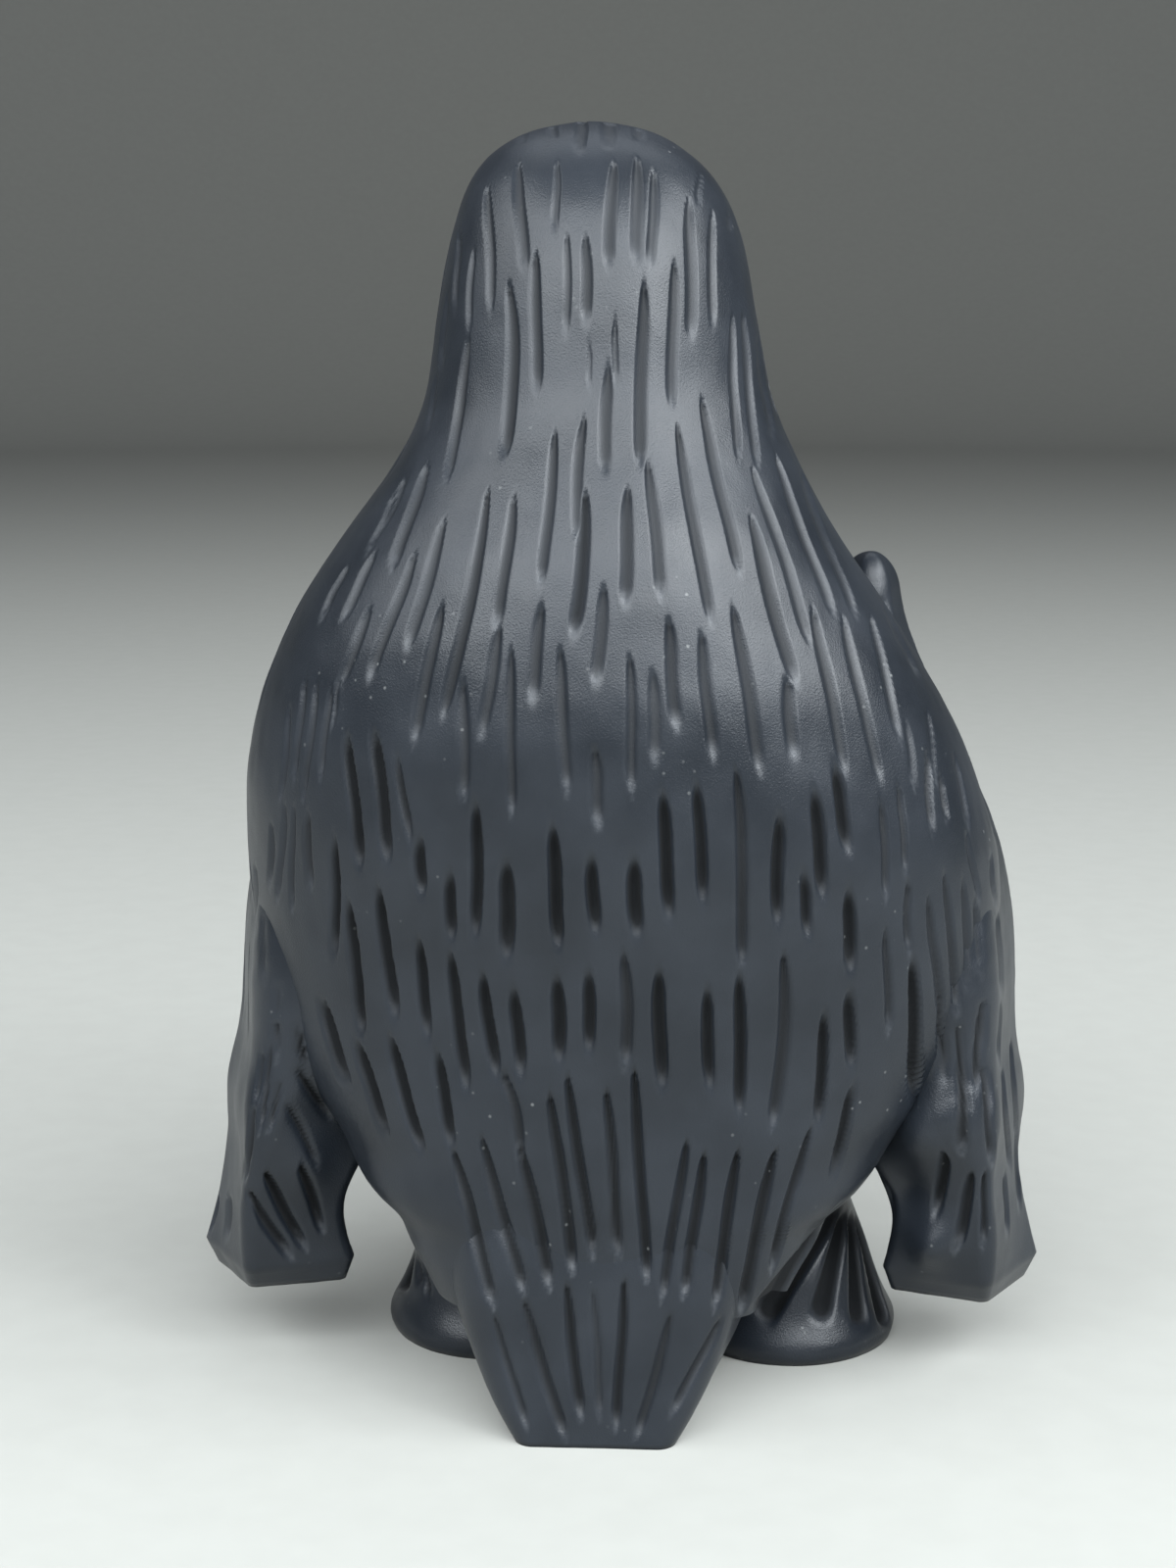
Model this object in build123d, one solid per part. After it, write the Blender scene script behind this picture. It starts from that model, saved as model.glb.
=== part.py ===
from build123d import *
from math import cos, pi, radians, sin, tan
import os

# A matte black penguin ornament: resin castings, pinned and glued, that stand on feet and tail.
# It stands on z = 0 and faces -Y. Left and right are the penguin's own, so left is +X.

# Whole figure
figure_height = 200.0
body_half_width = 62.5
belly_reach = 46.0
back_reach = 46.0
head_lean = 5.0
neck_share = 0.75
neck_height = figure_height * neck_share
oval_points = 12

# Fits
glue_gap = 0.3
pin_clearance = 0.15
overrun = 1.0

# Body outline: height, half width, belly and back reach, lean of the axis, power of the oval
body_shares = [
    (0.090, 0.472, 0.413, 0.905, 0.30, 3.00),
    (0.110, 0.512, 0.590, 0.930, 0.30, 3.00),
    (0.130, 0.548, 0.685, 0.938, 0.30, 3.00),
    (0.150, 0.580, 0.750, 0.942, 0.30, 3.00),
    (0.165, 0.640, 0.790, 0.945, 0.28, 2.90),
    (0.180, 0.688, 0.825, 0.948, 0.24, 2.75),
    (0.200, 0.732, 0.867, 0.951, 0.20, 2.50),
    (0.230, 0.810, 0.909, 0.954, 0.12, 2.30),
    (0.260, 0.883, 0.940, 0.957, 0.06, 2.15),
    (0.290, 0.938, 0.965, 0.960, 0.02, 2.05),
    (0.330, 0.973, 0.988, 0.968, 0.00, 2.00),
    (0.390, 0.986, 1.000, 0.985, 0.06, 2.00),
    (0.440, 0.976, 0.989, 1.000, 0.25, 2.00),
    (0.500, 0.936, 0.952, 0.998, 0.60, 2.00),
    (0.560, 0.864, 0.891, 0.974, 0.88, 2.00),
    (0.620, 0.760, 0.815, 0.913, 1.12, 2.00),
    (0.680, 0.630, 0.728, 0.820, 1.14, 2.00),
    (0.740, 0.508, 0.652, 0.685, 0.98, 2.00),
    (0.790, 0.440, 0.613, 0.580, 0.94, 2.00),
    (0.840, 0.412, 0.609, 0.515, 1.00, 2.00),
    (0.890, 0.386, 0.596, 0.452, 1.02, 2.00),
    (0.930, 0.350, 0.543, 0.380, 1.06, 2.00),
    (0.960, 0.300, 0.457, 0.289, 1.16, 2.00),
    (0.980, 0.230, 0.348, 0.191, 1.24, 2.00),
    (0.995, 0.126, 0.196, 0.054, 1.26, 2.00),
    (1.000, 0.035, 0.100, -0.020, 1.26, 2.00),
]

# Hollow of the torso
torso_wall = 7.0
cavity_shares = (0.17, 0.63)
cavity_floor, cavity_roof = (figure_height * share for share in cavity_shares)

# Plug under the torso
plug_diameter = 24.0
plug_thickness = 8.0
pour_hole_diameter = 18.0
plug_setback = 2.0

# Flippers: drop from wrist to tip, inner edge, outer edge, back ridge, roundings of edges and ridge
wrist_share = 0.655
flipper_tip_share = 0.065
wrist_height = figure_height * wrist_share
flipper_tip_height = figure_height * flipper_tip_share
flipper_thickness = 26.0
flipper_breadth = 23.0
flipper_rounding = 3.0
flipper_tip_shift = 0.2
flipper_lean_share = 0.5
flipper_shares = [
    (0.000, 0.672, -0.478, 0.192, 0.000, 0.096, 0.196, 0.36, 0.36),
    (0.025, 0.600, -0.522, 0.412, 0.000, 0.231, 0.500, 1.00, 1.00),
    (0.076, 0.576, -0.565, 0.519, 0.000, 0.308, 0.783, 1.00, 1.00),
    (0.161, 0.560, -0.522, 0.673, -0.065, 0.423, 1.130, 1.00, 1.33),
    (0.280, 0.528, -0.217, 0.981, -0.543, 0.712, 1.130, 1.00, 2.33),
    (0.398, 0.496, 0.174, 1.277, -1.130, 0.923, 0.665, 1.00, 3.33),
    (0.500, 0.480, 0.370, 1.404, -1.391, 1.019, 0.391, 1.00, 3.83),
    (0.585, 0.480, 0.391, 1.423, -1.304, 1.046, 0.370, 1.00, 3.67),
    (0.669, 0.528, 0.326, 1.327, -1.022, 0.942, 0.478, 1.00, 2.67),
    (0.737, 0.560, 0.239, 1.231, -0.696, 0.904, 0.652, 1.00, 1.67),
    (0.805, 0.608, 0.283, 1.115, -0.739, 0.808, 0.478, 0.93, 1.00),
    (0.873, 0.669, 0.304, 1.050, -0.652, 0.700, 0.391, 0.80, 0.87),
    (0.966, 0.648, 0.272, 1.215, -0.457, 0.750, 0.370, 0.60, 0.73),
    (1.000, 0.672, 0.261, 1.069, -0.413, 0.692, 0.261, 0.50, 0.60),
]

# Tail wedge: height, half width and place of its back face, then of its front face
tail_height_share = 0.29
tail_height = figure_height * tail_height_share
tail_half_width = 36.0
tail_reach = 46.8
tail_skew = 3.0
tail_rounding = 10.0
tail_fillet_share = 0.46
tail_shares = [
    (1.000, 0.333, 0.769, 0.667, 0.300, 1.00),
    (0.862, 0.417, 0.829, 0.750, 0.256, 1.10),
    (0.724, 0.500, 0.876, 0.833, 0.235, 1.10),
    (0.586, 0.556, 0.910, 0.875, 0.235, 1.05),
    (0.448, 0.578, 0.936, 0.861, 0.246, 1.00),
    (0.310, 0.550, 0.951, 0.750, 0.320, 0.80),
    (0.172, 0.478, 0.968, 0.611, 0.470, 0.60),
    (0.069, 0.400, 0.987, 0.486, 0.620, 0.45),
    (0.000, 0.333, 1.000, 0.383, 0.769, 0.30),
]

# Feet: a flared leg on a webbed foot with three toes
foot_spacing = 49.4
foot_shift = -2.8
leg_height_share = 0.18
leg_height = figure_height * leg_height_share
leg_half_width = 18.5
leg_half_depth = 19.0
leg_setback = 3.5
leg_shares = [
    (1.00, 0.40, 0.44),
    (0.68, 0.54, 0.56),
    (0.40, 0.74, 0.76),
    (0.15, 0.93, 0.93),
    (0.05, 1.00, 1.00),
    (0.00, 0.97, 0.97),
]
toe_reach = 46.8
web_thickness = 6.5
web_root_share = 0.75
web_rounding = 2.0
toe_half_spread = 9.0
toe_radius = 5.2
toe_side_share = 0.90

# Beak
beak_length = 18.0
beak_half_width = 7.0
beak_half_height = 7.5
beak_height_share = 0.87
beak_height = figure_height * beak_height_share
beak_drop = 4.0
beak_root = 8.0
beak_shares = [
    (0.00, 1.00, 1.00),
    (0.35, 0.74, 0.76),
    (0.70, 0.42, 0.46),
    (0.92, 0.20, 0.22),
    (1.00, 0.09, 0.10),
]

# Eyes
eye_radius = 3.4
eye_height_share = 0.91
eye_side_share = 0.28
eye_height = figure_height * eye_height_share
eye_side = body_half_width * eye_side_share
eye_sink_share = 0.35
eye_stem_radius = 1.3
eye_stem_length = 7.0

# Pins, rods and dowel
dowel_diameter = 12.0
dowel_length = 44.0
beak_pin_diameter = 3.0
beak_pin_length = 14.0
flipper_pin_diameter = 3.0
flipper_pin_length = 12.0
flipper_pin_shares = [
    (0.20, 0.283),
    (0.25, 0.283),
]
tail_pin_diameter = 4.0
tail_pin_spacing = 26.0
tail_pin_foot = 9.0
tail_pin_top_share = 0.165
tail_pin_setback_share = 0.717
tail_pin_top = figure_height * tail_pin_top_share
tail_pin_setback = back_reach * tail_pin_setback_share
leg_rod_diameter = 5.0
leg_rod_foot = 6.0
leg_rod_inset = 3.0
leg_rod_top_share = 0.16
leg_rod_top = figure_height * leg_rod_top_share


def outline_at(height, column):
    """One column of the body's outline at a height, straight between the listed sections."""
    level = height / figure_height
    low = max((row for row in body_shares if row[0] <= level), default=body_shares[0])
    high = min((row for row in body_shares if row[0] > level), default=body_shares[-1])
    if high[0] <= low[0]:
        return low[column]
    part_way = (level - low[0]) / (high[0] - low[0])
    return low[column] + part_way * (high[column] - low[column])


def axis_x(height):
    """Sideways place of the body's leaning axis."""
    return head_lean * outline_at(height, 4)


def body_depth(height):
    """Middle and half of the body's depth at a height."""
    front = -belly_reach * outline_at(height, 2)
    back = back_reach * outline_at(height, 3)
    return (front + back) / 2, (back - front) / 2


def body_side(height, setback):
    """Distance from the leaning axis to the body's side at a height and a Y place."""
    middle, half_depth = body_depth(height)
    power = outline_at(height, 5)
    reach = min(abs(setback - middle) / half_depth, 1)
    return body_half_width * outline_at(height, 1) * (1 - reach**power) ** (1 / power)


def squared(wave, power):
    """A sine or cosine of an ellipse turned into one of a squarer oval."""
    return abs(wave) ** (2 / power) * (1 if wave > 0 else -1)


def oval(half_width, half_depth, power=2):
    """A smooth closed curve through points of an ellipse, or of a squarer oval, as a face."""
    points = []
    for step in range(oval_points):
        turn = 2 * pi * step / oval_points
        across = half_width * squared(cos(turn), power)
        points.append((across, half_depth * squared(sin(turn), power)))
    return make_face(Spline(*points, periodic=True))


def body_section(row, grow):
    """One oval of the body, grown all round."""
    level, width, belly, back, lean, power = row
    front_y = -belly_reach * belly - grow
    back_y = back_reach * back + grow
    middle = (head_lean * lean, (front_y + back_y) / 2, figure_height * level)
    section = oval(body_half_width * width + grow, (back_y - front_y) / 2, power)
    return Pos(*middle) * section


def body_loft(grow, rows=body_shares):
    """Torso and head as one smooth form."""
    return loft([body_section(row, grow) for row in rows])


def slab(low, high):
    """Everything between two heights."""
    size = 2 * (figure_height + body_half_width)
    return Pos(0, 0, (low + high) / 2) * Box(size, size, high - low)


def rod(diameter, start, end):
    """A round bar from one point to another."""
    line = Vector(*end) - Vector(*start)
    bar = Cylinder(diameter / 2, line.length, align=(Align.CENTER, Align.CENTER, Align.MIN))
    return Plane(origin=start, z_dir=line) * bar


def rounded_points(corners, radii):
    """Points of a polygon with rounded corners: three round each corner, one on each side."""
    points = []
    for number, corner in enumerate(corners):
        following = corners[(number + 1) % len(corners)]
        before = (corners[number - 1] - corner).normalized()
        after = (following - corner).normalized()
        half_angle = radians(before.get_angle(after)) / 2
        setback = radii[number] / tan(half_angle)
        inset = radii[number] / sin(half_angle) - radii[number]
        points.append(corner + before * setback)
        points.append(corner + (before + after).normalized() * inset)
        points.append(corner + after * setback)
        points.append((corner + following) / 2)
    return points


def flipper_section(row, side):
    """A rounded triangle: inner edge, outer edge and back ridge."""
    drop, root, root_back, outer, outer_back, ridge, ridge_back, edge_share, ridge_share = row
    height = wrist_height - (wrist_height - flipper_tip_height) * drop
    root_x = body_half_width * root
    root_y = belly_reach * root_back
    corners = [
        (root_x, root_y),
        (root_x + flipper_thickness * outer, root_y + flipper_breadth * outer_back),
        (root_x + flipper_thickness * ridge, root_y + flipper_breadth * ridge_back),
    ]
    middle = flipper_lean_share * axis_x(height) + flipper_tip_shift * drop**3
    points = [Vector(middle + side * x, y) for x, y in corners]
    radii = [flipper_rounding * share for share in (edge_share, edge_share, ridge_share)]
    outline = Spline(*rounded_points(points, radii), periodic=True)
    return Pos(0, 0, height) * make_face(outline)


def flipper_loft(side):
    """The whole flipper from wrist to tip, its root still inside the body."""
    return loft([flipper_section(row, side) for row in flipper_shares])


def tail_section(row, grow):
    """A rounded trapezium, narrower at the back face."""
    level, back_width, back_place, front_width, front_place, rounding = row
    back_x = tail_half_width * back_width + grow
    front_x = tail_half_width * front_width + grow
    back_y = tail_reach * back_place + grow
    front_y = tail_reach * front_place - grow
    corners = [
        (tail_skew + front_x, front_y),
        (tail_skew + back_x, back_y),
        (tail_skew - back_x, back_y),
        (tail_skew - front_x, front_y),
    ]
    radius = min(tail_rounding * rounding, tail_fillet_share * (back_y - front_y))
    outline = FilletPolyline(*corners, radius=radius, close=True)
    return Pos(0, 0, tail_height * level) * make_face(outline)


def tail_loft(grow):
    """The whole tail wedge, its root still inside the body."""
    return loft([tail_section(row, grow) for row in tail_shares])


def foot_x(side):
    """Sideways place of a foot."""
    return foot_shift + side * foot_spacing / 2


def leg_loft(side):
    """The flared leg over one foot."""
    sections = []
    for level, width, depth in leg_shares:
        oval_face = oval(leg_half_width * width, leg_half_depth * depth)
        sections.append(Pos(foot_x(side), -leg_setback, leg_height * level) * oval_face)
    return loft(sections)


def web_slab(side):
    """The webbed sole: a fan from the heel to three rounded toes."""
    toe_y = -toe_reach + toe_radius
    side_toe_y = -leg_setback + (toe_y + leg_setback) * toe_side_share
    toes = [(-toe_half_spread, side_toe_y), (0, toe_y), (toe_half_spread, side_toe_y)]
    edge = toe_half_spread + toe_radius
    root = leg_half_width * web_root_share
    outline = Polyline(
        (-root, -leg_setback),
        (-edge, side_toe_y),
        *toes,
        (edge, side_toe_y),
        (root, -leg_setback),
        close=True,
    )
    sole = extrude(make_face(outline), web_thickness)
    for x, y in toes:
        sole = sole + Pos(x, y, web_thickness / 2) * Cylinder(toe_radius, web_thickness)
    sole = fillet(sole.faces().sort_by(Axis.Z)[-1].edges(), web_rounding)
    return Pos(foot_x(side), 0, 0) * sole


def beak_point(ahead):
    """A point of the beak's middle line, a distance ahead of the head's face."""
    face_y = -belly_reach * outline_at(beak_height, 2)
    fall = beak_drop * (beak_root + ahead) / (beak_root + beak_length)
    return (axis_x(beak_height), face_y - ahead, beak_height - fall)


def beak_loft():
    """A short tapering beak that points forward and a little down."""
    sections = []
    for along, width, height in beak_shares:
        place = Pos(*beak_point((beak_root + beak_length) * along - beak_root))
        outline = oval(beak_half_width * width, beak_half_height * height)
        sections.append(place * Rot(90, 0, 0) * outline)
    return loft(sections)


def eye_frame(side):
    """Plane on the head's side, its Z pointing out of the eye."""
    front = -belly_reach * outline_at(eye_height, 2)
    back = back_reach * outline_at(eye_height, 3)
    half_depth = (back - front) / 2
    half_width = body_half_width * outline_at(eye_height, 1)
    ahead = half_depth * (1 - (eye_side / half_width) ** 2) ** 0.5
    spot = (axis_x(eye_height) + side * eye_side, (front + back) / 2 - ahead, eye_height)
    outward = (side * eye_side / half_width**2, -ahead / half_depth**2, 0)
    return Plane(origin=spot, z_dir=outward)


def eye_bead(side, grow):
    """A round bead on a short stem."""
    sink = eye_radius * eye_sink_share
    bead = Pos(0, 0, -sink) * Sphere(eye_radius + grow)
    length = eye_stem_length + grow
    stem = Pos(0, 0, -sink - length / 2) * Cylinder(eye_stem_radius + grow, length)
    return eye_frame(side) * (bead + stem)


def dowel(grow):
    """Wooden dowel, half in the torso and half in the head."""
    x = axis_x(neck_height)
    half = dowel_length / 2 + grow
    return rod(dowel_diameter + 2 * grow, (x, 0, neck_height - half), (x, 0, neck_height + half))


def beak_pin(grow):
    """Pin along the beak's middle line, half in the head."""
    half = beak_pin_length / 2 + grow
    return rod(beak_pin_diameter + 2 * grow, beak_point(-half), beak_point(half))


def flipper_pins(side, grow):
    """Two pins across the joint between body and flipper."""
    pins = []
    for height_share, setback_share in flipper_pin_shares:
        height = figure_height * height_share
        setback = belly_reach * setback_share
        joint = body_side(height, setback)
        half = flipper_pin_length / 2 + grow
        inner = (axis_x(height) + side * (joint - half), setback, height)
        outer = (axis_x(height) + side * (joint + half), setback, height)
        pins.append(rod(flipper_pin_diameter + 2 * grow, inner, outer))
    return pins


def tail_pins(grow):
    """Two upright pins from the tail into the rump."""
    pins = []
    for side in (-1, 1):
        x = side * tail_pin_spacing / 2
        foot = (x, tail_pin_setback, tail_pin_foot - grow)
        top = (x, tail_pin_setback, tail_pin_top + grow)
        pins.append(rod(tail_pin_diameter + 2 * grow, foot, top))
    return pins


def leg_rod(side, grow):
    """Upright rod from a foot into the torso's floor."""
    x = foot_x(side) - side * leg_rod_inset
    foot = (x, -leg_setback, leg_rod_foot - grow)
    top = (x, -leg_setback, leg_rod_top + grow)
    return rod(leg_rod_diameter + 2 * grow, foot, top)


def cut_all(piece, tools):
    """A piece with each tool cut out of it in turn."""
    for tool in tools:
        piece = piece - tool
    return piece


def largest(shape):
    """The main solid of a cut form, without any scrap that the cut leaves."""
    return max(shape.solids(), key=lambda solid: solid.volume)


underside = figure_height * body_shares[0][0]
body = body_loft(0)
grown_body = body_loft(glue_gap)
grown_tail = tail_loft(glue_gap)
sides = {"left": 1, "right": -1}

# Torso: hollow, with sockets for everything that is pinned to it
torso_rows = [row for row in body_shares if figure_height * row[0] < neck_height]
cavity = body_loft(-torso_wall, torso_rows) & slab(cavity_floor, cavity_roof)
torso = (body & slab(underside - overrun, neck_height)) - cavity
pour_hole = rod(
    pour_hole_diameter,
    (0, plug_setback, underside),
    (0, plug_setback, cavity_floor + overrun),
)
plug_seat = rod(
    plug_diameter + 2 * pin_clearance,
    (0, plug_setback, underside - overrun),
    (0, plug_setback, underside + plug_thickness),
)
torso = cut_all(torso, [pour_hole, plug_seat, dowel(pin_clearance)] + tail_pins(pin_clearance))
plug_bottom = (0, plug_setback, underside)
plug_top = (0, plug_setback, underside + plug_thickness)

# Head: solid, with sockets for the dowel, the beak's pin and the eyes
head = body & slab(neck_height, figure_height + overrun)
head = cut_all(head, [dowel(pin_clearance), beak_pin(pin_clearance)])

nodes = {
    "neck_dowel": dowel(0),
    "beak": largest(beak_loft() - grown_body) - beak_pin(pin_clearance),
    "beak_pin": beak_pin(0),
    "tail": cut_all(largest(tail_loft(0) - grown_body), tail_pins(pin_clearance)),
    "tail_pins": Compound(tail_pins(0)),
    "belly_plug": rod(plug_diameter, plug_bottom, plug_top),
}

for name, side in sides.items():
    pins = flipper_pins(side, pin_clearance)
    torso = cut_all(torso, pins + [leg_rod(side, pin_clearance)])
    head = head - eye_bead(side, pin_clearance)
    flipper = largest(flipper_loft(side) - grown_body)
    foot = (leg_loft(side) & slab(0, underside - glue_gap)) + web_slab(side)
    foot = largest(foot - grown_tail)
    nodes[f"{name}_flipper"] = cut_all(flipper, pins)
    nodes[f"{name}_flipper_pins"] = Compound(flipper_pins(side, 0))
    nodes[f"{name}_foot"] = foot - leg_rod(side, pin_clearance)
    nodes[f"{name}_leg_rod"] = leg_rod(side, 0)
    nodes[f"{name}_eye"] = eye_bead(side, 0)

nodes["torso"] = torso
nodes["head"] = head

os.makedirs("parts", exist_ok=True)
for name, solid in nodes.items():
    export_step(solid, f"parts/{name}.step")
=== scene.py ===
"""Looks of a carved matte black penguin ornament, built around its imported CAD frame."""

import logging
import math
from dataclasses import dataclass
from enum import Enum

import bpy
import numpy as np
from mathutils import Matrix, Vector


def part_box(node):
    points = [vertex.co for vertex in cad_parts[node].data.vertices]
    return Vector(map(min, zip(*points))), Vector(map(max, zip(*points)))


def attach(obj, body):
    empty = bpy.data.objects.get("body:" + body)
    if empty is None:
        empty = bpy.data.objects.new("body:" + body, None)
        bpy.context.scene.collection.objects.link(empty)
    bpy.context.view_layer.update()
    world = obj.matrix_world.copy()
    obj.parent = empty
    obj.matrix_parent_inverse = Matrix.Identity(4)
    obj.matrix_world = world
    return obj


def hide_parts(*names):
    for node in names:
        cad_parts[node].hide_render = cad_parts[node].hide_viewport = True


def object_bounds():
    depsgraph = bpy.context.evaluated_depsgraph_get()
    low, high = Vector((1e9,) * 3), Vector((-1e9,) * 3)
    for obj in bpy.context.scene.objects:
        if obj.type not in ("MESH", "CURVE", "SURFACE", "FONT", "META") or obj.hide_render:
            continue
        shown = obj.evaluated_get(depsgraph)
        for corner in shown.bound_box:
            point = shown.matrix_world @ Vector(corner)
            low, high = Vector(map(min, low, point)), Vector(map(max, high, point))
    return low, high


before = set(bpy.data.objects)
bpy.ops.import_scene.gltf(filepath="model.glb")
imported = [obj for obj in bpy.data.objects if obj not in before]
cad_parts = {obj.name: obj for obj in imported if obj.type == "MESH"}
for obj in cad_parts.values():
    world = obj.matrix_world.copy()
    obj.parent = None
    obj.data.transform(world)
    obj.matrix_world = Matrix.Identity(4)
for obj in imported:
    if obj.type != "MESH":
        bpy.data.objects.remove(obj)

LOG = logging.getLogger("penguin")
TINY = 1e-6
BODY_NAME = "root"
CAD_LOW, CAD_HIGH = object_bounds()
TORSO_LOW, TORSO_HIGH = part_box("torso")

# Driving sizes, in metres, read from the frame
FIGURE_HEIGHT = CAD_HIGH.z
TORSO_WIDEST_SHARE = 0.99
BODY_HALF_WIDTH = (TORSO_HIGH.x - TORSO_LOW.x) / 2 / TORSO_WIDEST_SHARE
BELLY_REACH = -TORSO_LOW.y
BACK_REACH = TORSO_HIGH.y
NECK_HEIGHT = TORSO_HIGH.z
MILLIMETRE = FIGURE_HEIGHT / 200
HEAD_LEAN = 0.08 * BODY_HALF_WIDTH

# Body outline: height, half width, belly and back reach, lean of the axis, power of the ovals
BODY_SHARES = (
    (0.090, 0.472, 0.413, 0.905, 0.30, 3.00),
    (0.110, 0.512, 0.590, 0.930, 0.30, 3.00),
    (0.130, 0.548, 0.685, 0.938, 0.30, 3.00),
    (0.150, 0.580, 0.750, 0.942, 0.30, 3.00),
    (0.165, 0.640, 0.790, 0.945, 0.28, 2.90),
    (0.180, 0.688, 0.825, 0.948, 0.24, 2.75),
    (0.200, 0.732, 0.867, 0.951, 0.20, 2.50),
    (0.230, 0.810, 0.909, 0.954, 0.12, 2.30),
    (0.260, 0.883, 0.940, 0.957, 0.06, 2.15),
    (0.290, 0.938, 0.965, 0.960, 0.02, 2.05),
    (0.330, 0.973, 0.988, 0.968, 0.00, 2.00),
    (0.390, 0.986, 1.000, 0.985, 0.06, 2.00),
    (0.440, 0.976, 0.989, 1.000, 0.25, 2.00),
    (0.500, 0.936, 0.952, 0.998, 0.60, 2.00),
    (0.560, 0.864, 0.891, 0.974, 0.88, 2.00),
    (0.620, 0.760, 0.815, 0.913, 1.12, 2.00),
    (0.680, 0.630, 0.728, 0.820, 1.14, 2.00),
    (0.740, 0.508, 0.652, 0.685, 0.98, 2.00),
    (0.790, 0.440, 0.613, 0.580, 0.94, 2.00),
    (0.840, 0.412, 0.609, 0.515, 1.00, 2.00),
    (0.890, 0.386, 0.596, 0.452, 1.02, 2.00),
    (0.930, 0.350, 0.543, 0.380, 1.06, 2.00),
    (0.960, 0.300, 0.457, 0.289, 1.16, 2.00),
    (0.980, 0.230, 0.348, 0.191, 1.24, 2.00),
    (0.995, 0.126, 0.196, 0.054, 1.26, 2.00),
    (1.000, 0.035, 0.100, -0.020, 1.26, 2.00),
)

# Flipper sections: drop from wrist to tip, then the places across and back of root, outer edge
# and back ridge, then the rounding of the two edges and of the ridge
FLIPPER_SHARES = (
    (0.000, 0.590, -0.540, 0.470, 0.000, 0.260, 0.640, 1.10, 1.10),
    (0.076, 0.576, -0.565, 0.530, 0.000, 0.308, 0.783, 1.10, 1.10),
    (0.161, 0.560, -0.522, 0.673, -0.065, 0.423, 1.130, 1.00, 1.33),
    (0.280, 0.528, -0.217, 0.981, -0.543, 0.712, 1.130, 1.00, 2.33),
    (0.398, 0.496, 0.174, 1.277, -1.130, 0.923, 0.665, 1.00, 3.33),
    (0.500, 0.480, 0.370, 1.404, -1.391, 1.019, 0.391, 1.00, 3.83),
    (0.585, 0.480, 0.391, 1.423, -1.304, 1.046, 0.370, 1.00, 3.67),
    (0.669, 0.528, 0.326, 1.327, -1.022, 0.942, 0.478, 1.00, 2.67),
    (0.737, 0.560, 0.239, 1.300, -0.696, 0.904, 0.652, 1.00, 1.67),
    (0.805, 0.608, 0.283, 1.170, -0.739, 0.808, 0.478, 0.93, 1.00),
    (0.873, 0.669, 0.304, 1.050, -0.652, 0.700, 0.391, 0.80, 0.87),
    (0.966, 0.648, 0.272, 1.215, -0.457, 0.750, 0.370, 0.60, 0.73),
    (1.000, 0.672, 0.261, 1.069, -0.413, 0.692, 0.261, 0.50, 0.60),
)

# Tail wedge: height, half width and place of its back face, then of its front face, rounding
TAIL_SHARES = (
    (1.000, 0.333, 0.769, 0.667, 0.300, 1.00),
    (0.862, 0.417, 0.829, 0.750, 0.256, 1.10),
    (0.724, 0.500, 0.876, 0.833, 0.235, 1.10),
    (0.586, 0.556, 0.910, 0.875, 0.235, 1.05),
    (0.448, 0.578, 0.936, 0.861, 0.246, 1.00),
    (0.310, 0.550, 0.951, 0.750, 0.320, 0.80),
    (0.172, 0.478, 0.968, 0.611, 0.470, 0.60),
    (0.069, 0.400, 0.987, 0.486, 0.620, 0.45),
    (0.000, 0.333, 1.000, 0.383, 0.769, 0.30),
)

# Legs: height, half width and half depth of the flared bell over each foot
LEG_SHARES = (
    (1.00, 0.40, 0.44),
    (0.68, 0.54, 0.56),
    (0.40, 0.74, 0.76),
    (0.15, 0.93, 0.93),
    (0.05, 1.00, 1.00),
    (0.00, 0.97, 0.97),
)

# Beak: place along its length, half width and half height
BEAK_SHARES = (
    (0.00, 1.00, 1.00),
    (0.35, 0.74, 0.76),
    (0.70, 0.42, 0.46),
    (0.92, 0.20, 0.22),
    (1.00, 0.09, 0.10),
)

# Carved strokes, placed by pixel columns and rows of the back view:
# top column, top row, bottom column, bottom row, width, strength and, in one table, bow
HEAD_STROKES = (
    (533, 118, 531, 147, 12, 0.6),
    (564, 116, 563, 143, 13, 0.8),
    (593, 116, 591, 158, 15, 0.9),
    (621, 116, 621, 154, 18, 0.9),
    (652, 116, 651, 148, 14, 0.8),
    (690, 126, 693, 153, 10, 0.6),
    (497, 188, 501, 322, 10, 0.9),
    (527, 164, 535, 280, 13, 1.0),
    (568, 162, 566, 243, 10, 0.8),
    (626, 162, 620, 279, 14, 1.1),
    (650, 158, 650, 273, 14, 1.0),
    (668, 172, 664, 276, 11, 0.9),
    (704, 200, 705, 350, 13, 0.9),
    (727, 214, 726, 338, 9, 0.8),
    (714, 174, 712, 213, 7, 0.6),
    (546, 256, 547, 405, 13, 1.2),
    (579, 236, 577, 346, 10, 0.8),
    (598, 238, 598, 336, 13, 1.1),
    (657, 286, 652, 480, 14, 1.2),
    (688, 266, 685, 421, 12, 1.0),
    (628, 324, 627, 400, 8, 0.7),
    (620, 372, 616, 489, 14, 1.1),
    (600, 348, 602, 402, 7, 0.5),
    (468, 234, 464, 322, 7, 0.7),
    (482, 254, 477, 342, 7, 0.7),
    (479, 342, 456, 496, 10, 1.0),
    (456, 300, 449, 381, 6, 0.6),
    (446, 382, 435, 442, 6, 0.6),
    (746, 322, 753, 473, 9, 0.9),
    (757, 318, 773, 482, 9, 0.9),
    (772, 344, 788, 452, 7, 0.7),
    (745, 214, 746, 238, 6, 0.4),
)
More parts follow.
